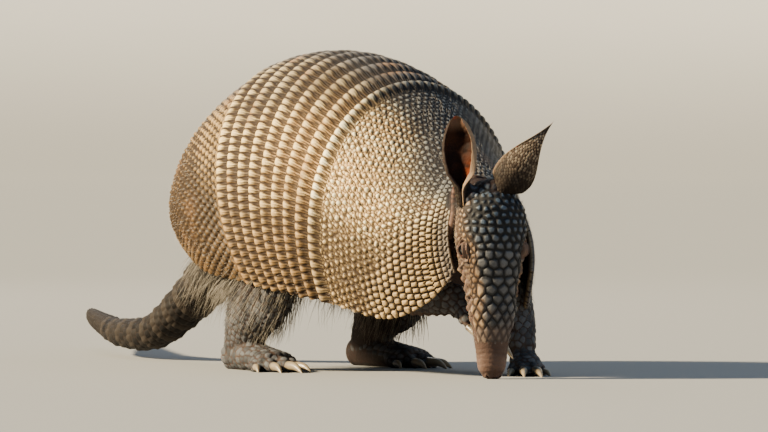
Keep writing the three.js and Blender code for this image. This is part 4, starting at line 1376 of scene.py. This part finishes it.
def skin_paint():
    """Brown skin, pink where bare, with horny scales: brown, grey-blue on the legs, darker and bluer on
    the crown as painted shade; painted shade too in creases, hollows and under the body.
    """
    p = Paint("skin_paint", 0.6, Subsurface_Weight=0.05, Subsurface_Scale=0.002,
              Specular_IOR_Level=0.08)
    pink, dark, rose, wet, scale, tone, legs, crown, lift = p.values(
        "pink", "dark", "rose", "wet", "scale", "tone", "legs", "crown", "lift")
    grain, cloud = p.noise(900, 4), p.noise(70, 3)
    mottle = p.ramp(cloud, 0.3, 0.7)
    base = p.mix(mottle, (0.045, 0.03, 0.023), (0.10, 0.067, 0.05))
    base = p.mix(legs, base, p.mix(mottle, (0.02, 0.0175, 0.017), (0.05, 0.041, 0.037)))
    base = p.mix(p.times(pink, 0.85), base,
                 p.mix(mottle, (0.10, 0.060, 0.046), (0.20, 0.128, 0.10)))
    # Painted shade where the folds push the skin in.
    base = p.mix(p.ramp(lift, 0.15, 0.5, 0.6, 0.0), base, (0.03, 0.017, 0.013))
    horn = p.mix(p.ramp(tone, 0.1, 0.9), (0.06, 0.038, 0.024), (0.19, 0.126, 0.075))
    horn = p.mix(legs, horn,
                 p.mix(p.ramp(tone, 0.1, 0.9), (0.034, 0.034, 0.036), (0.074, 0.075, 0.08)))
    # Painted shade: the crown's scales darker and bluer.
    horn = p.mix(crown, horn,
                 p.mix(p.ramp(scale, 0.5, 1.0), (0.008, 0.011, 0.015), (0.038, 0.048, 0.064)))
    # Painted shade: the crown's skin nearly black.
    base = p.mix(crown, base, (0.005, 0.0055, 0.007))
    colour = p.mix(p.ramp(scale, 0.12, 0.6), base, horn)
    # Painted shade in creases, slits, hollows, under the body and on the crown.
    colour = p.mix(p.times(dark, 0.9), colour, (0.016, 0.01, 0.009))
    colour = p.mix(p.times(rose, 0.85), colour,
                   p.mix(mottle, (0.13, 0.062, 0.042), (0.27, 0.145, 0.10)))
    colour = p.mix(p.ramp(grain, 0.45, 0.8, 0.0, 0.35), colour, (0.045, 0.032, 0.026))
    rough = p.ramp(wet, 0.0, 1.0, 0.62, 0.4)
    return p.done(colour, rough, [(grain, 0.00025), (p.noise(330, 3), 0.0003)])


# ------------------------------------------------------------------ eyes

def make_eyes():
    """Balls with a bulging cornea, each in its lids."""
    rows, columns = 33, 48
    for name, sign in (("right", 1), ("left", -1)):
        middle, out = eye_middle(sign)
        lat = np.linspace(0, math.pi, rows)[:, None]
        lon = np.linspace(0, 2 * math.pi, columns, endpoint=False)[None]
        side = unit(np.cross(out, HEAD_UP))
        up = np.cross(side, out)
        bulge = 1 + 0.07 * ridge(lat, 0.55)
        ball = (EYE_RADIUS * bulge)[..., None] * moved(
            0, (out, np.cos(lat)), (side, np.sin(lat) * np.cos(lon)), (up, np.sin(lat) * np.sin(lon)))
        lat = np.broadcast_to(lat, ball.shape[:2])
        uv = np.stack([0.5 + 0.49 * lat / math.pi * turn(lon) for turn in (np.cos, np.sin)], -1)
        eye = build(f"eyeball_{name}", (middle + ball).reshape(-1, 3),
                    grid_quads(rows, columns, wrap=True, flip=sign < 0), values={"lat": lat},
                    uv=uv.reshape(-1, 2))
        weld(eye)
        finish(eye, eye_paint(name), "eye", f"eye_{name}")


def eye_paint(name):
    """A black pupil in a dark brown iris, under a clear coat."""
    p = Paint("eye_" + name, 0.04, Coat_Weight=1.0, Coat_Roughness=0.02)
    lat = p.value("lat")
    iris = p.mix(p.ramp(p.noise(1500, 3), 0.3, 0.7), (0.02, 0.011, 0.006), (0.05, 0.028, 0.015))
    colour = p.mix(p.ramp(lat, 0.36, 0.42), (0.003, 0.003, 0.003), iris)
    colour = p.mix(p.ramp(lat, 0.75, 0.95), colour, (0.16, 0.09, 0.07))
    return p.done(colour)


# ------------------------------------------------------------------ ears

def leaf_shape(x, swell, close):
    """The outline of a leaf from root to tip, 1 at its widest."""
    bloom = swell / (swell + close)
    return x ** swell * np.maximum(1 - x, 0) ** close / (bloom ** swell * (1 - bloom) ** close)


def ear_surface(spec, edge, v, offset):
    """A leaf curled round its own length. edge runs across from -1 to 1, v from root to tip."""
    up = unit(np.array(spec["aim"], float))
    front = np.array(spec["face"], float)
    front = unit(front - up * (front @ up))
    side = np.cross(up, front)
    root = head_point(spec["along"], math.radians(spec["angle"])) - up * EAR_ROOT + side * spec["shift"]
    x = spec["narrow"] + (1 - spec["narrow"]) * v
    leaf = spec["half"] * leaf_shape(x, spec["swell"], spec["close"])
    curl = spec["roll"] * (2.0 - 1.25 * np.clip((v - 0.2) * 2, 0, 1))
    first, last = spec["open"]
    curl = curl + (3.1 - curl) * (1 - smoothstep(first, last, v))
    radius = np.maximum(leaf / curl, 1e-4)
    bend = radius + offset
    inner, outer, *hollows = spec["lobes"]
    inner_part, outer_part = (leaf_shape(x, spec["swell"], hollow) for hollow in hollows)
    lobe = np.where(edge < 0, outer * outer_part, inner * inner_part)
    lobe = lobe / np.maximum(leaf_shape(x, spec["swell"], spec["close"]), 1e-3)
    wide = 1 + smoothstep(first - 0.1, last + 0.1, v) * (lobe - 1)
    turn = edge * curl * wide
    return moved(root, (up, v * (spec["length"] + EAR_ROOT)), (side, bend * np.sin(turn)),
                 (front, radius * 0.5 - bend * np.cos(turn) - 4 * v * v))


def ear_leaf(spec, rows, columns):
    """Points of a closed leaf: `turn` runs over its back from rim to rim, and home inside."""
    v = np.linspace(0.002, 0.997, rows)[:, None]
    turn = np.linspace(0, 2 * math.pi, columns, endpoint=False)[None]
    edge = np.cos(turn) * (1 - 0.02 * np.abs(np.sin(turn)))
    edge, v, turn = np.broadcast_arrays(edge, v, turn)
    flat = np.abs(np.sin(turn))
    outside = np.sin(turn) > 0
    rim = ridge(1 - np.abs(np.cos(turn)), 0.08)
    roll = 1 + rim * (0.4 + 1.0 * smoothstep(-0.2, 1, edge))
    half = EAR_WALL / 2 * np.tanh(flat * 5) * roll * smoothstep(1.0, 0.9, v)
    rough = ear_surface(spec, edge, v, np.zeros_like(v))
    seeds = spread_out(rough.reshape(-1, 3)[::2], EAR_PEBBLE)
    _, number, bump = cells(rough, seeds, 0.1, 0.6)
    offset = np.where(outside, half + 0.28 * bump * smoothstep(0.0, 0.4, flat), -half)
    offset = offset + np.where(outside, 0, 0.25 * ridge(rumple(rough, 5, 61), 0.25))
    values = {"inside": np.where(outside, 0.0, smoothstep(0.03, 0.16, flat)), "pebble": bump,
              "rim": rim, "along": v, "edge": 0.5 + 0.5 * edge,
              "glow": smoothstep(0.0, 0.5, edge) * ridge(v - 0.33, 0.15),
              "tone": np.random.default_rng(8).random(len(seeds))[number]}
    uv = np.stack([0.01 + 0.97 * (turn / (2 * math.pi)), 0.01 + 0.97 * v], -1)
    return ear_surface(spec, edge, v, offset), values, uv


def make_ears():
    rows, columns = round(110 / FINE), 2 * round(72 / FINE)
    for name, spec in EARS.items():
        grid, values, uv = ear_leaf(spec, rows, columns)
        leaf = build(f"ear_leaf_{name}", grid.reshape(-1, 3),
                     grid_quads(rows, columns, wrap=True, flip=True), values=values,
                     uv=uv.reshape(-1, 2))
        cap_ends(leaf, rows, columns)
        finish(leaf, ear_paint(name), "ear", f"ear_{name}")


def cap_ends(thing, rows, columns):
    """Closes the two end rings of a grid."""
    with editing(thing) as work:
        made = [work.faces.new([work.verts[first + k] for k in range(columns)])
                for first in (0, (rows - 1) * columns)]
        bmesh.ops.triangulate(work, faces=made)
        bmesh.ops.recalc_face_normals(work, faces=work.faces)


def ear_paint(name):
    """Pebbled leather outside, with painted shade on the back towards the root; dark inside but for a
    glowing patch, with a pale rolled rim.
    """
    p = Paint("ear_leather_" + name, 0.6, Subsurface_Weight=0.06, Subsurface_Scale=0.002,
              Subsurface_Radius=(1.0, 0.3, 0.15), Specular_IOR_Level=0.03)
    inside, pebble, rim, along, tone, glow, edge = p.values(
        "inside", "pebble", "rim", "along", "tone", "glow", "edge")
    grain, cloud = p.noise(1000, 4), p.noise(150, 3)
    horn = p.mix(p.ramp(tone, 0.1, 0.9), (0.05, 0.037, 0.028), (0.16, 0.126, 0.094))
    outer = p.mix(p.ramp(pebble, 0.1, 0.7), (0.024, 0.016, 0.012), horn)
    # Painted shade: the back darker towards the root.
    outer = p.mix(p.ramp(along, 0.2, 0.55, 0.85, 0.0), outer, (0.008, 0.006, 0.0055))
    inner = p.mix(p.ramp(cloud, 0.4, 0.65), (0.008, 0.0032, 0.002), (0.022, 0.008, 0.004))
    inner = p.mix(p.times(glow, p.ramp(cloud, 0.36, 0.55)), inner, (0.085, 0.0145, 0.0014))
    inner = p.mix(p.ramp(along, 0.8, 0.93, 0.0, 0.85), inner, (0.10, 0.056, 0.036))
    colour = p.mix(inside, outer, inner)
    colour = p.mix(p.times(rim, p.ramp(edge, 0.0, 0.5, 0.9, 0.0)), colour, (0.018, 0.012, 0.010))
    trim = p.times(rim, p.ramp(edge, 0.2, 0.8))
    colour = p.mix(p.times(trim, p.ramp(grain, 0.2, 0.6, 0.6, 0.95)), colour, (0.21, 0.142, 0.09))
    return p.done(colour, None, [(grain, 0.0002), (cloud, 0.0003)])


# ------------------------------------------------------------------ claws and tail

# A claw's share of its length, its height in girths and the millimetres on top, root to tip.
CLAW_PATH = [(-0.12, 1, 0), (0.2, 1.02, 0), (0.55, 0.95, 0), (0.8, 0.6, 0), (1, 0, 0.6)]
CLAW_SIZES = [(0.6, 0.62), (0.62, 0.6), (0.46, 0.48), (0.28, 0.3)]     # half sections in girths


def make_claws():
    """The claws of each foot as one piece, flat on the floor where they reach it."""
    horn = claw_paint()
    for name, leg in LEGS.items():
        spin, put = foot_matrix(leg)
        points, quads, along, first = [], [], [], 0
        for toe in leg.foot["toes"]:
            girth, length = toe[4:]
            way, _, tip = toe_points(toe)
            path = [tip + way * length * share + np.array([0, 0, girth * high + lift - tip[2]])
                    for share, high, lift in CLAW_PATH]
            sizes = [(girth * a, girth * b) for a, b in CLAW_SIZES] + [(0.35, 0.35)]
            grid, share = tube_grid(path, sizes, 28, 20, caps=(0.5, 0.5), cap_rows=3)
            points.append((grid @ spin.T + put).reshape(-1, 3))
            quads.append(grid_quads(*share.shape, first=first, wrap=True, flip=True))
            along.append(share.ravel())
            first += share.size
        points = np.concatenate(points)
        points[:, 2] = np.maximum(points[:, 2], 0)
        claws = build(f"claws_{name}", points, np.concatenate(quads),
                      values={"along": np.concatenate(along)})
        weld(claws)
        finish(claws, horn, "claw", *[f"claw_{name}_{k + 1}" for k in range(len(leg.foot["toes"]))])


def claw_paint():
    """Horn, dark at the root and paler from a third of the way on."""
    p = Paint("claw_horn", 0.35, Specular_IOR_Level=0.5)
    along = p.value("along")
    grain = p.noise(260, 4, (1, 1, 4))
    colour = p.mix(p.ramp(along, 0.0, 0.35), (0.04, 0.029, 0.021), (0.21, 0.165, 0.105))
    colour = p.mix(p.ramp(grain, 0.4, 0.7, 0.0, 0.5), colour, (0.17, 0.12, 0.08))
    return p.done(colour, None, [(grain, 0.0002)])


def tail_radius(s):
    return TAIL_ROOT + (TAIL_TIP - TAIL_ROOT) * s ** 0.62


def tail_scales(grid, s, turn):
    """Height of the tail's scales, three rows to a ring, and what the paint reads of them."""
    samples = np.linspace(0, 1, 400)
    arc = arc_along(spline(TAIL_PATH)(samples))
    ring = s / TIP_FROM * TAIL_RINGS
    number = np.floor(ring)
    share = ring - number
    ringed = s < TIP_FROM
    row = np.where(ringed, share * 3, np.interp(s, samples, arc) / TAIL_ROW)
    part = row - np.floor(row)
    middle = np.where(ringed, (number + 0.5) / TAIL_RINGS * TIP_FROM, s)
    count = np.maximum(7, np.round(2 * math.pi * tail_radius(middle) / TAIL_SCALE))
    place = turn / (2 * math.pi) * count + 0.5 * (np.floor(row) % 2) + 0.05 * rumple(grid, 9, 70)
    across = (place - np.floor(place) - 0.5) * 2
    point = np.clip(1 - np.abs(across) ** 3, 0, 1) * np.clip(1 - np.abs(part * 2 - 1) ** 4, 0, 1)
    keel = ridge(across, 0.35) * smoothstep(0.1, 0.9, part)
    radius = tail_radius(s)
    swell = 0.1 * radius * (share ** 1.5 - 0.5) * smoothstep(1.0, 0.94, share)
    height = np.where(ringed, swell, 0.0) + (0.35 + 0.02 * radius) * point ** 0.6 + 0.35 * keel * point
    mixed = (np.floor(place) * 13 + np.floor(row) * 7 + number * 29).astype(int)
    return height, {"relief": smoothstep(0.05, 0.5, point), "tone": RANDOM[mixed % len(RANDOM)],
                    "along": s, "worn": np.where(ringed, smoothstep(0.5, 0.95, share), 0.3)}


def make_tail():
    """Rings of horny scales down two thirds of the tail, then small scales to the tip."""
    rows, around = round(760 / FINE), round(112 / FINE)
    grid, s = tube_grid(TAIL_PATH, [(1, 1), (1, 1)], rows, around, caps=(0, 2.6), cap_rows=4,
                        start=0.02, shape=tail_radius)
    mid = grid.mean(1, keepdims=True)
    out = unit(grid - mid)
    turn = np.broadcast_to(np.linspace(0, 2 * math.pi, around, endpoint=False), s.shape)
    height, values = tail_scales(grid, s, turn)
    closed = np.linalg.norm(grid - mid, axis=-1) > 0.6
    grid = moved(grid, (out, height * closed))
    uv = np.stack([0.01 + 0.98 * (turn / (2 * math.pi)) * 0.25, 0.01 + 0.98 * s], -1)
    tail = build("tail_armour", grid.reshape(-1, 3), grid_quads(*s.shape, wrap=True, flip=True),
                 values=values, uv=uv.reshape(-1, 2))
    weld(tail)
    finish(tail, tail_paint(), "tail_rings", *[f"tail_{k + 1}" for k in range(7)])


def tail_paint():
    """Dark brown horn painted nearly black with shade, worn browner along the rear of each ring."""
    p = Paint("tail_horn", 0.6, Specular_IOR_Level=0.08)
    relief, tone, worn = p.value("relief"), p.value("tone"), p.value("worn")
    grain, cloud = p.noise(900, 4), p.noise(60, 3)
    mixed = p.plus(p.times(tone, 0.6), p.times(cloud, 0.4))
    # Dark brown horn, darkened further as painted shade.
    horn = p.mix(p.ramp(mixed, 0.2, 0.8), (0.0048, 0.004, 0.0038), (0.0125, 0.0102, 0.0088))
    horn = p.mix(p.times(worn, 0.65), horn, (0.036, 0.028, 0.0215))
    colour = p.mix(p.ramp(relief, 0.05, 0.6), (0.018, 0.012, 0.009), horn)
    return p.done(colour, None, [(grain, 0.0002)])


# ------------------------------------------------------------------ hair

HAIR_STRIPS = 2 + len(LEGS)  # on the unwrap: the trunk's, the legs' and the head's
HAIR_ROOT = 1.2              # how deep a hair starts
BELLY_HAIRS, HEAD_HAIRS = 13000, 1500
LEG_HAIRS = {"fore": 600, "hind": 1500}
SEAM_HAIRS, RUMP_HAIRS, SHOULDER_HAIRS = 420, 3000, 2400


def scatter(grid, count, rng, rows=(0, 1), accept=None):
    """Random places on a closed grid of points, with normals and shares along and round."""
    n, m = grid.shape[:2]
    mid = grid.mean(1)
    a, b = rng.uniform(rows[0], rows[1], count) * (n - 2) + 0.5, rng.uniform(0, m, count)
    i, j = a.astype(int), b.astype(int) % m
    u, v = (a - i)[:, None], (b - b.astype(int))[:, None]
    p, q, r = grid[i, j], grid[i + 1, j], grid[i, (j + 1) % m]
    root = p + (q - p) * u + (r - p) * v
    normal = unit(np.cross(q - p, r - p))
    normal *= np.sign(((root - mid[i]) * normal).sum(-1, keepdims=True) + 1e-9)
    keep = np.ones(count, bool) if accept is None else accept(root, a / n, b / m)
    return root[keep], normal[keep], a[keep] / n, b[keep] / m


def hair_faces(steps):
    """Faces of one three-sided hair: its sides, its root and its tip."""
    last = 3 * steps - 3
    pairs = [(c, (c + 1) % 3) for c in range(3)]
    quads = [(k + a, k + b, k + 3 + b, k + 3 + a) for k in range(0, last, 3) for a, b in pairs]
    return quads, [(0, 2, 1)] + [(last + a, last + b, last + 3) for a, b in pairs]


def hairs(name, root, start, end, length, girth, uv, paint, slot="skin", steps=4):
    """Tapering three-sided hairs as one mesh, bent from the start direction to the end one."""
    count = len(root)
    s = np.linspace(0, 1, steps + 1)[:, None]
    length = np.broadcast_to(length, count)[:, None, None]
    start, end = unit(start)[:, None], unit(end)[:, None]
    line = root[:, None] + length * (start * (s - s * s / 2) + end * (s * s / 2)) - start * HAIR_ROOT
    along = unit(start * (1 - s) + end * s)
    side = unit(np.cross(along, np.array([0.31, 0.17, 0.93])))
    other = np.cross(along, side)
    turn = np.arange(3) * 2 * math.pi / 3
    radius = np.broadcast_to(girth, count)[:, None, None] * (1 - s) ** 0.7
    ring = moved(line[:, :, None], (side[:, :, None], radius * np.cos(turn)),
                 (other[:, :, None], radius * np.sin(turn)))
    points = np.concatenate([ring[:, :-1].reshape(count, -1, 3), line[:, -1:]], 1)
    size = points.shape[1]
    quads, tris = hair_faces(steps)
    first = (np.arange(count) * size)[:, None, None]
    share = np.concatenate([np.repeat(s[:-1, 0], 3), [1.0]])
    patch = np.stack([0.0013 * np.cos(np.arange(size) * 2.1), 0.0028 * (share - 0.5)], -1)
    hair = build(name, points.reshape(-1, 3), (np.array(quads)[None] + first).reshape(-1, 4),
                 (np.array(tris)[None] + first).reshape(-1, 3),
                 {"along": np.tile(share, count),
                  "tone": np.repeat(np.resize(RANDOM, count), size)},
                 (uv[:, None] + patch[None]).reshape(-1, 2))
    finish(hair, paint, slot)


def hair_paint(name, root, tip):
    """The root's colour runs into the tip's, sooner in some hairs than in others."""
    p = Paint(name, 0.5, Specular_IOR_Level=0.08)
    along, tone = p.value("along"), p.value("tone")
    pale = p.ramp(p.plus(along, p.times(p.minus(tone, 0.5), 0.9)), 0.0, 0.7)
    return p.done(p.mix(pale, root, tip))


def ruffle(ways, rng, amount):
    return unit(ways + rng.normal(size=ways.shape) * amount)


def tile(column, along, round_it):
    """A hair's place on the unwrap: an upright strip for the trunk, each leg and the head."""
    u = (column + 0.03 + 0.94 * round_it) / HAIR_STRIPS
    return np.stack([u, 0.02 + 0.96 * along], -1)


def belly_hair(paint):
    """Long pale hair from under the shell's margins over the flanks and thighs, thin beneath."""
    rng = np.random.default_rng(91)
    grid = trunk_grid(*TRUNK_GRID)

    def accept(root, along, round_it):
        angle = np.abs(round_it * 2 - 1) * math.pi
        low = smoothstep(RIM_ANGLE - 0.02, RIM_ANGLE + 0.06, angle)
        fringe = 1 - 0.8 * smoothstep(RIM_ANGLE + 0.16, RIM_ANGLE + 0.4, angle)
        rear = 0.25 + 0.75 * (1 - smoothstep(0.36, 0.55, along))
        return (rng.random(len(root)) < low * fringe * rear) & (root[:, 2] > 30)
    root, normal, along, round_it = scatter(grid, round(BELLY_HAIRS / FINE), rng, (0.04, 0.9), accept)
    rear = 1 - smoothstep(0.36, 0.6, along)
    down = np.array([-0.3, 0, -1.0])
    start = ruffle(normal * 0.55 + down * 0.6 + np.array([-0.35, 0, 0]), rng, 0.22)
    end = ruffle(normal * 0.22 + down, rng, 0.3)
    length = (7 + 22 * rear) * rng.uniform(0.55, 1.2, len(root))
    length = np.minimum(length, (root[:, 2] - 4) * 0.9)
    hairs("belly_hair", root, start, end, length, rng.uniform(0.1, 0.17, len(root)),
          tile(0, along, round_it), paint, steps=5)


def leg_hair(paint):
    """Long on the thighs, short and sparse further down."""
    rng = np.random.default_rng(92)
    found = []

    def thin(root, along, _):
        return rng.random(len(root)) < 1 - 0.75 * smoothstep(0.3, 0.75, along)
    for number, (name, leg) in enumerate(LEGS.items()):
        hind = name.startswith("hind")
        many = round(LEG_HAIRS[name[:4]] / FINE)
        root, normal, along, round_it = scatter(limb_grid(leg), many, rng, (0.2, 0.82), thin)
        high = 1 - smoothstep(0.25, 0.75, along)
        down = unit(np.subtract(leg.path[-1], leg.path[0]).astype(float)) + np.array([-0.35, 0, 0])
        start = ruffle(normal * 0.5 + down, rng, 0.2)
        end = ruffle(normal * 0.12 + down + np.array([-0.1, 0, -0.5]), rng, 0.25)
        length = ((5 + 19 * high) if hind else (3 + 5 * high)) * rng.uniform(0.5, 1.15, len(root))
        found.append((root, start, end, length, tile(1 + number, along, round_it)))
    root, start, end, length, uv = (np.concatenate(x) for x in zip(*found))
    hairs("leg_hair", root, start, end, length, 0.09 + 0.004 * length, uv, paint, "leg_skin")


def shell_hair(paint):
    """Fine short hairs that lie back from between the shell's scales."""
    rng = np.random.default_rng(93)
    stations, angles = [], []
    for number in range(BAND_COUNT + 1):
        edge = SCAPULAR_REAR - number * BAND_STATIONS + 0.02
        many = round(SEAM_HAIRS / FINE)
        stations.append(edge + rng.uniform(0, 0.1, many))
        angles.append(rng.uniform(-RIM_ANGLE, RIM_ANGLE, many))
    for low, high, many in ((0.02, PELVIC_FRONT, RUMP_HAIRS),
                            (SCAPULAR_REAR + 0.1, LAST - 0.05, SHOULDER_HAIRS)):
        stations.append(rng.uniform(low, high, round(many / FINE)))
        angles.append(rng.uniform(-RIM_ANGLE, RIM_ANGLE, round(many / FINE)))
    station, angle = np.concatenate(stations), np.concatenate(angles)
    root = shell_point(station, angle)
    ahead, _, out = directions(shell_point, station, angle, 0, LAST)
    root = root + out * 0.6
    start = ruffle(out * 0.9 - ahead, rng, 0.25)
    end = ruffle(out * 0.25 - ahead + np.array([0, 0, -0.25]), rng, 0.3)
    length = rng.uniform(2.0, 4.6, len(root)) * (1 + 0.5 * (station < 1.2))
    uv = np.stack([0.02 + 0.96 * (0.5 + angle / RIM_ANGLE / 2), 0.02 + 0.96 * station / LAST], -1)
    girth = np.full(len(root), 0.05)
    hairs("shell_hair", root, start, end, length, girth, uv, paint, "band", steps=3)


def head_hair(paint):
    """A few short hairs on the cheeks, the throat and the ears' roots."""
    rng = np.random.default_rng(94)

    def cheek(root, *_):
        t, angle, _ = head_place(root)
        return (np.abs(angle) > 1.25) & (t < 0.95)
    root, normal, along, round_it = scatter(head_grid(), round(HEAD_HAIRS / FINE), rng,
                                            (0.2, 0.95), cheek)
    start = ruffle(normal * 0.6 + HEAD_UP, rng, 0.25)
    end = ruffle(normal * 0.2 + HEAD_UP * 0.8, rng, 0.3)
    hairs("head_hair", root, start, end, rng.uniform(1.5, 3.5, len(root)), 0.05,
          tile(HAIR_STRIPS - 1, along, round_it), paint, steps=3)


def make_hair():
    """Long dark hairs with pale tips below, fine pale ones on the shell and the head."""
    long_hair = hair_paint("long_hair", (0.009, 0.0072, 0.006), (0.21, 0.183, 0.147))
    fine_hair = hair_paint("fine_hair", (0.07, 0.055, 0.043), (0.40, 0.37, 0.34))
    belly_hair(long_hair)
    leg_hair(long_hair)
    shell_hair(fine_hair)
    head_hair(fine_hair)


# ------------------------------------------------------------------ studio

VIEW_RIGHT = np.array([0.559, 0.829, 0.0])     # the picture's right, on the body's axes
VIEW_BACK = np.array([0.829, -0.559, 0.0])     # from the animal to the camera
EYE_HEIGHT, DISTANCE = 0.1235, 3.5             # the camera's, in metres
CAMERA_AIM = (0.00615, 0, 0.0794)
FLOOR_FLAT, WALL_CURVE = 14, 5                 # radii of the floor and of its rise, in metres


LAMP_AIM = (0, 0, 0.09)


def studio_point(right, back, height):
    """Metres from the animal's middle on the camera's own axes."""
    return Vector(ORIGIN + VIEW_RIGHT * right + VIEW_BACK * back + np.array([0, 0, height]))


def set_up(name, data, place, target):
    """Puts the camera or a light in its place, pointing at the target."""
    thing = bpy.data.objects.new(name, data)
    thing.location = studio_point(*place)
    way = studio_point(*target) - thing.location
    thing.rotation_euler = way.to_track_quat("-Z", "Y").to_euler()
    bpy.context.scene.collection.objects.link(thing)
    return thing


def make_camera():
    """A long lens, looking almost level across the animal."""
    data = bpy.data.cameras.new("camera")
    data.lens, data.sensor_width = 320, 36
    data.clip_start, data.clip_end = 0.05, 60
    place = (0, DISTANCE, EYE_HEIGHT)
    bpy.context.scene.camera = set_up("camera", data, place, CAMERA_AIM)


def light(name, kind, place, target, power, colour, **size):
    data = bpy.data.lights.new(name, kind)
    data.energy, data.color = power, colour
    for key, value in size.items():
        setattr(data, key, value)
    set_up(name, data, place, target)


def make_studio():
    """A low warm sun from the left, a cool soft lamp opposite, and a faint one from behind."""
    light("key", "SUN", (-0.87, 0.13, 0.5), (0, 0, 0), 22, (1.0, 0.84, 0.56), angle=math.radians(5))
    light("fill", "AREA", (1.6, 1.4, 1.2), LAMP_AIM, 13, (0.42, 0.68, 1.0), size=1.6)
    light("rim", "AREA", (-0.5, -1.7, 1.1), LAMP_AIM, 8, (1.0, 0.90, 0.76), size=0.8)
    world = bpy.data.worlds.new("studio")
    world.use_nodes = True
    sky = world.node_tree.nodes["Background"]
    sky.inputs["Color"].default_value = (0.43, 0.68, 1.0, 1)
    sky.inputs["Strength"].default_value = 0.44
    bpy.context.scene.world = world


def make_floor():
    """A round floor that curves up into a wall a long way off."""
    profile = [(0.0, 0.0), (2.0, 0.0), (6.0, 0.0), (FLOOR_FLAT, 0.0)]
    profile += [(FLOOR_FLAT + WALL_CURVE * math.sin(t), WALL_CURVE - WALL_CURVE * math.cos(t))
                for t in np.linspace(0.1, 1.45, 12)]
    turn = np.linspace(0, 2 * math.pi, 97)[:-1]
    rings = [[(r * math.cos(t), r * math.sin(t), z) for t in turn] for r, z in profile]
    points = np.array(rings).reshape(-1, 3) * 1000 - ORIGIN * 1000
    floor = build("floor", points, grid_quads(len(profile), len(turn), wrap=True))
    floor.data.materials.append(floor_paint())


def floor_paint():
    """Grey, and paler up the wall."""
    p = Paint("floor_paint", 0.9)
    high = p.node("SeparateXYZ", {0: p.node("TexCoord", output="Object")}, 2)
    pale = p.mix(p.ramp(high, 0.0, 0.6), (0.21, 0.208, 0.204), (0.40, 0.397, 0.39))
    cloud = p.ramp(p.noise(1.5, 2), 0.3, 0.7, 0.0, 0.08)
    return p.done(p.mix(cloud, pale, (0.21, 0.205, 0.195)))


make_camera()
make_studio()
make_floor()
make_shell()
make_face_shield()
make_skin()
make_eyes()
make_ears()
make_claws()
make_tail()
make_hair()
